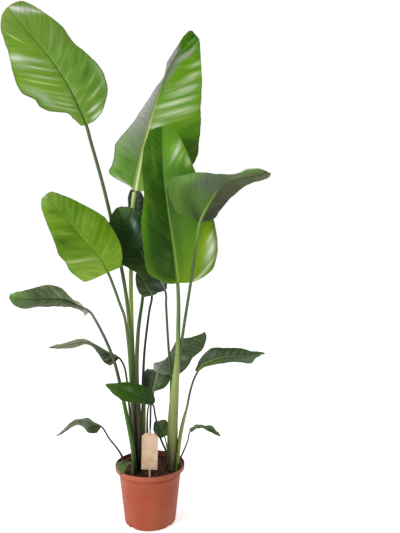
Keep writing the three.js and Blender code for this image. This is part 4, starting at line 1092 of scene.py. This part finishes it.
def pot_profile():
    """Radius and height from the middle of the underside, up the outside and down the inside."""
    rim_bottom, rim_inside = POT_HEIGHT - RIM_BAND, RIM_RADIUS - POT_WALL
    ledge = rim_bottom + POT_WALL + 2
    foot_inside = BODY_FOOT_RADIUS - FOOT_CORNER - FOOT_WIDTH
    wall = [
        (tapered(z, FOOT_CORNER, rim_bottom) + (RING_RISE if z in RING_HEIGHTS[1:3] else 0), z)
        for z in (*WALL_HEIGHTS, *RING_HEIGHTS, rim_bottom - 2)
    ]
    return [
        (0, 0), (BOSS_RADIUS - 1, 0), (BOSS_RADIUS + 0.5, 1), (BOSS_RADIUS + 2, FOOT_LIFT),
        (foot_inside - 2, FOOT_LIFT), (foot_inside - 0.5, 1), (foot_inside + 1, 0),
        *arc((BODY_FOOT_RADIUS - FOOT_CORNER, FOOT_CORNER), FOOT_CORNER, -90, 0, 8),
        *wall, (BODY_TOP_RADIUS + 0.8, rim_bottom - 0.4), (RIM_RADIUS - 2, rim_bottom - 0.2),
        *arc((RIM_RADIUS - RIM_ROUND, rim_bottom + RIM_ROUND), RIM_ROUND, -60, 0, 4),
        (RIM_RADIUS - 0.3, POT_HEIGHT - 6),
        *arc((RIM_RADIUS - RIM_ROUND, POT_HEIGHT - RIM_ROUND), RIM_ROUND, 0, 180, 9),
        (rim_inside, ledge),
        *arc((rim_inside - RIM_INSIDE_ROUND, ledge), RIM_INSIDE_ROUND, 0, -80, 4),
        (BODY_TOP_RADIUS - POT_WALL + 1, rim_bottom + 0.5),
        (BODY_TOP_RADIUS - POT_WALL, rim_bottom - POT_WALL),
        (BODY_FOOT_RADIUS - POT_WALL, FLOOR_TOP), (0, FLOOR_TOP),
    ]


def cutters():
    """Drain holes and foot notches, as one mesh of closed prisms."""
    points, faces = [], []

    def prism(corners, low, high):
        start, count = len(points), len(corners)
        points.extend((x, y, z) for z in (low, high) for x, y in corners)
        faces.append([start + i for i in range(count)][::-1])
        faces.append([start + count + i for i in range(count)])
        for i in range(count):
            j = (i + 1) % count
            faces.append((start + i, start + j, start + count + j, start + count + i))

    for i in range(DRAIN_HOLES):
        prism(circle(on_circle(DRAIN_CIRCLE, (i + 0.5) / DRAIN_HOLES), DRAIN_RADIUS), -CUT_DEPTH, CUT_DEPTH)
    for i in range(FOOT_NOTCHES):
        turn = (i + FIRST_NOTCH) / FOOT_NOTCHES
        middle = on_circle(BODY_FOOT_RADIUS - FOOT_WIDTH, turn)
        reach = on_circle(FOOT_WIDTH + NOTCH_REACH, turn)
        half = on_circle(NOTCH_WIDTH / 2, turn + 0.25)
        near, far = middle - reach, middle + reach
        corners = (near - half, far - half, far + half, near + half)
        prism(corners, -CUT_DEPTH / 2, FOOT_LIFT + 1)
    return points, faces


def pot_plastic(name, dull):
    """Moulded plastic with faint scuffs round the pot; dull is the share of darkening by soil stains and
    painted shade.
    """
    s = Shader(name, 0.25)
    where = s.where()
    _, _, z = s.split(where)
    cloud, speck = s.noise(where, 9, 3), s.noise(where, 260)
    scuff = s.noise(s.stretched(where, 5), 30, 4)
    colour = s.ramp(s.level(cloud, 0.3, 0.7), {0: "#b2573c", 1: "#bd6347"})
    colour = s.tint(s.level(scuff, 0.6, 0.78, 0, 0.16), colour, "#d98f78")
    colour = s.tint(s.level(speck, 0.62, 0.8, 0, 0.25), colour, "#93432d")
    # Painted highlight: the rim band above 184 mm is lighter.
    colour = s.tint(s.level(z, 0.1842, 0.1856, 0, 0.2), colour, "#d08b7a")
    if dull:
        # Inside the pot: soil stains and painted shade, weaker towards the rim.
        stain_and_shade = s.times(s.level(s.noise(where, 40, 4), 0.3, 0.6, dull, 1), s.level(z, 0.18, 0.197, 1, 0.35))
        colour = s.tint(stain_and_shade, colour, "#4c2e22")
    height = s.plus(speck, s.times(scuff, 0.6))
    return s.finish(colour, s.level(scuff, 0.3, 0.7, 0.55, 0.45), height, 0.0003, 0.35)


def add_pot():
    pot = add_object("body_cut", mesh_of("pot", *lathe(pot_profile(), POT_SEGMENTS), 35))
    tool = add_object("tool_cut", mesh_of("pot_tools", *cutters()))
    modifier = pot.modifiers.new("cut", "BOOLEAN")
    modifier.operation, modifier.object, modifier.solver = "DIFFERENCE", tool, "EXACT"
    mesh = baked(pot)
    bpy.data.objects.remove(tool)
    mesh.materials.clear()
    mesh.materials.append(pot_plastic("terracotta_plastic", 0))
    mesh.materials.append(pot_plastic("terracotta_inside_stained_and_shaded", 0.75))
    for face in mesh.polygons:
        inwards = face.center.xy.dot(face.normal.xy) < 0
        on_wall = face.center.z > FLOOR_TOP * MM and face.center.xy.length > INSIDE_FROM * MM
        face.material_index = int(inwards and on_wall)
    piece("pot", mesh)


GOLDEN = (1 + math.sqrt(5)) / 2
CRUMB_POINTS = unit(np.array([
    np.roll((a, b, 0), k) for k in range(3) for b in (GOLDEN, -GOLDEN) for a in (-1, 1)
]))
CRUMB_FACES = (
    (0, 11, 5), (0, 5, 1), (0, 1, 7), (0, 7, 10), (0, 10, 11), (1, 5, 9), (5, 11, 4),
    (11, 10, 2), (10, 7, 6), (7, 1, 8), (3, 9, 4), (3, 4, 2), (3, 2, 6), (3, 6, 8),
    (3, 8, 9), (4, 9, 5), (2, 4, 11), (6, 2, 10), (8, 6, 7), (9, 8, 1),
)


def moist_soil():
    s = Shader("moist_soil", 0.25)
    where = s.where()
    clump, grain = s.noise(where, 60, 4, 0.65), s.noise(where, 420, 3, 0.7)
    colour = s.ramp(s.level(clump, 0.32, 0.7), {0: "#3d2c20", 0.6: "#654937", 1: "#8a664f"})
    colour = s.tint(s.level(grain, 0.6, 0.78, 0, 0.7), colour, "#b08a6c")
    return s.finish(colour, 0.9, s.plus(clump, s.times(grain, 0.7)), 0.003, 0.9)


def add_soil():
    """The plug of soil with its lumpy, slightly crowned surface, and loose crumbs on it."""
    def wall(z):
        inside_top = POT_HEIGHT - RIM_BAND - POT_WALL
        return (tapered(z, FLOOR_TOP, inside_top) - POT_WALL - GAP, z)

    edge = wall(SOIL_TOP)[0] - 0.5

    def surface(x, y):
        p = Vector((x, y, 0))
        lump = sum(height * noise.noise(p * scale) for height, scale in LUMPS)
        return SOIL_TOP + SOIL_CROWN * (1 - (math.hypot(x, y) / edge) ** 2) - SOIL_SINK + lump

    bottom = FLOOR_TOP + GAP
    profile = [(0, bottom), (wall(FLOOR_TOP)[0] - 2, bottom)]
    profile += [wall(z) for z in (*WALL_HEIGHTS, SOIL_TOP - 10)]
    profile += [(edge * (1 - k / SOIL_RINGS), SOIL_TOP) for k in range(SOIL_RINGS)] + [(0, SOIL_TOP)]
    points, faces = lathe(profile, SOIL_SEGMENTS)
    points = [(x, y, surface(x, y) if z == SOIL_TOP else z) for x, y, z in points]
    draw = np.random.default_rng(7)
    for _ in range(CRUMBS):
        radius, turn = edge * math.sqrt(draw.uniform(0, CRUMB_AREA)), draw.uniform(0, 2 * math.pi)
        x, y = radius * math.cos(turn), radius * math.sin(turn)
        size, stretch = draw.uniform(*CRUMB_SIZES), draw.uniform(*CRUMB_STRETCH, 3)
        spin = draw.uniform(0, math.pi)
        c, s = math.cos(spin), math.sin(spin)
        faces += [[len(points) + k for k in face] for face in CRUMB_FACES]
        for corner in CRUMB_POINTS:
            cx, cy, cz = corner * size * stretch * draw.uniform(*CRUMB_RAGGED)
            height = surface(x, y) + CRUMB_RISE * size + cz
            points.append((x + cx * c - cy * s, y + cx * s + cy * c, height))
    mesh = mesh_of("soil", points, faces, 30)
    mesh.materials.append(moist_soil())
    piece("soil", mesh)


def board(name, outlines, thickness, bevel, lean, place):
    """An upright board with rounded edges, cut from outlines; the first outline is the outside."""
    curve = bpy.data.curves.new(name, "CURVE")
    curve.dimensions, curve.fill_mode = "2D", "BOTH"
    curve.extrude, curve.bevel_depth = (thickness / 2 - bevel) * MM, bevel * MM
    curve.offset, curve.bevel_resolution = -bevel * MM, 2
    for outline in outlines:
        spline = curve.splines.new("POLY")
        spline.points.add(len(outline) - 1)
        for point, (x, y) in zip(spline.points, outline):
            point.co = (x * MM, y * MM, 0, 1)
        spline.use_cyclic_u = True
    mesh = baked(add_object(name, curve))
    points = np.empty(3 * len(mesh.vertices), np.float32)
    mesh.vertices.foreach_get("co", points)
    x, y, z = points.reshape(-1, 3).T
    c, s = math.cos(math.radians(lean)), math.sin(math.radians(lean))
    stood = np.stack([x * c + y * s, -z, y * c - x * s], -1) + np.array(place) * MM
    mesh.vertices.foreach_set("co", stood.astype(np.float32).ravel())
    mesh.update()
    return rounded(mesh, 40)


def kraft_board():
    s = Shader("kraft_board", 0.2)
    where = s.where()
    fibre, cloud = s.noise(s.stretched(where, 0.22), 420, 4, 0.65), s.noise(where, 45, 3)
    colour = s.ramp(s.level(cloud, 0.3, 0.7), {0: "#dbb795", 1: "#e8cbb0"})
    colour = s.tint(s.level(fibre, 0.52, 0.75, 0, 0.5), colour, "#f4e0cc")
    colour = s.tint(s.level(fibre, 0.46, 0.28, 0, 0.5), colour, "#b49474")
    return s.finish(colour, 0.8, fibre, 0.0003, 0.5)


def pale_wood():
    s = Shader("pale_wood", 0.25)
    grain = s.noise(s.stretched(s.where(), 0.06), 900, 4, 0.6)
    colour = s.ramp(s.level(grain, 0.3, 0.7), {0: "#cdb48c", 0.5: "#e6d6b4", 1: "#f2e8cf"})
    return s.finish(colour, 0.65, grain, 0.0003, 0.5)


def add_tag():
    half = TAG_WIDTH / 2
    shoulder, top = TAG_HEIGHT - TAG_CLIP, half - TAG_CLIP
    outline = [
        (-half, 0), (half, 0), (half, shoulder), (top, TAG_HEIGHT), (-top, TAG_HEIGHT), (-half, shoulder),
    ]
    eye = circle(np.array([0, TAG_HEIGHT - 3 * TAG_EYE]), TAG_EYE)
    place = (TAG_CENTRE[0], TAG_CENTRE[1] - TAG_THICKNESS / 2, TAG_BOTTOM)
    mesh = board("tag", [outline, eye], TAG_THICKNESS, TAG_BEVEL, TAG_LEAN, place)
    mesh.materials.append(kraft_board())
    piece("tag", mesh)


def add_stick():
    half, foot = STICK_WIDTH / 2, SOIL_TOP - ROOT_DEPTH
    top = STICK_TOP - foot
    outline = [
        (-half, STICK_SHOULDER), (-STICK_POINT / 2, 0), (STICK_POINT / 2, 0), (half, STICK_SHOULDER),
        (half, top - STICK_CLIP), (half - STICK_CLIP, top),
        (STICK_CLIP - half, top), (-half, top - STICK_CLIP),
    ]
    place = (TAG_CENTRE[0] + 1, TAG_CENTRE[1] + STICK_THICKNESS / 2 + GAP, foot)
    mesh = board("tag_stick", [outline], STICK_THICKNESS, STICK_BEVEL, 0, place)
    mesh.materials.append(pale_wood())
    piece("tag_stick", mesh)


add_pot()
add_soil()
add_tag()
add_stick()
for index, shape in enumerate(LEAVES):
    add_leaf(shape, SEED_STEP * index + FIRST_SEED)


# Stage, light and camera

FLOOR_SIZE = 30
FLOOR_DROP = 0.0004


def add_stage():
    mesh = bpy.data.meshes.new("floor")
    corners = [(x * FLOOR_SIZE, y * FLOOR_SIZE, 0) for x, y in ((-1, -1), (1, -1), (1, 1), (-1, 1))]
    mesh.from_pydata(corners, [], [(0, 1, 2, 3)])
    floor = add_object("floor", mesh)
    floor.location.z = -FLOOR_DROP
    s = Shader("floor_paper", 0)
    for name, value in (
        ("Base Color", (0.85, 0.85, 0.85, 1)), ("Roughness", 1),
        ("Emission Color", (1, 1, 1, 1)), ("Emission Strength", 0.88),
    ):
        s.feed(s.bsdf.inputs[name], value)
    mesh.materials.append(s.material)


def add_light(name, place, target, size, power, colour):
    light = bpy.data.lights.new(name, "AREA")
    light.shape, light.size, light.energy, light.color = "DISK", size, power, colour
    made = add_object(name, light)
    made.location = place
    made.rotation_euler = (Vector(target) - Vector(place)).to_track_quat("-Z", "Y").to_euler()


def studio_world():
    """White all round, dimmer towards the right and the front, which the camera's own view never sees."""
    world = bpy.data.worlds.new("studio")
    world.use_nodes = True
    nodes = Nodes(world.node_tree)
    x, y, _ = nodes.split(nodes.where("Generated"))
    strength = nodes.times(nodes.level(x, 0.44, 0.75, 1.7, 0.255), nodes.level(y, 0, -0.6, 1, 0.45))
    background = nodes.tree.nodes["Background"]
    nodes.feed(background.inputs["Strength"], strength)
    nodes.feed(background.inputs["Color"], (1, 1, 1, 1))
    return world


add_stage()
add_light("key", (-2.4, -2.4, 2.0), (0, 0, 0.8), 2.2, 185, (1, 0.99, 0.96))
add_light("fill", (2.6, -2.2, 1.4), (0, 0, 0.8), 2.5, 12, (0.97, 0.98, 1))
scene = bpy.context.scene
scene.world = studio_world()
scene.view_settings.view_transform = "Standard"
scene.view_settings.exposure = -0.75

camera = add_object("camera", bpy.data.cameras.new("camera"))
camera.data.lens = 38
camera.data.sensor_width = 36
camera.location = (0.174, -1.924, 0.987)
camera.rotation_euler = (math.radians(87), 0, 0)
scene.camera = camera
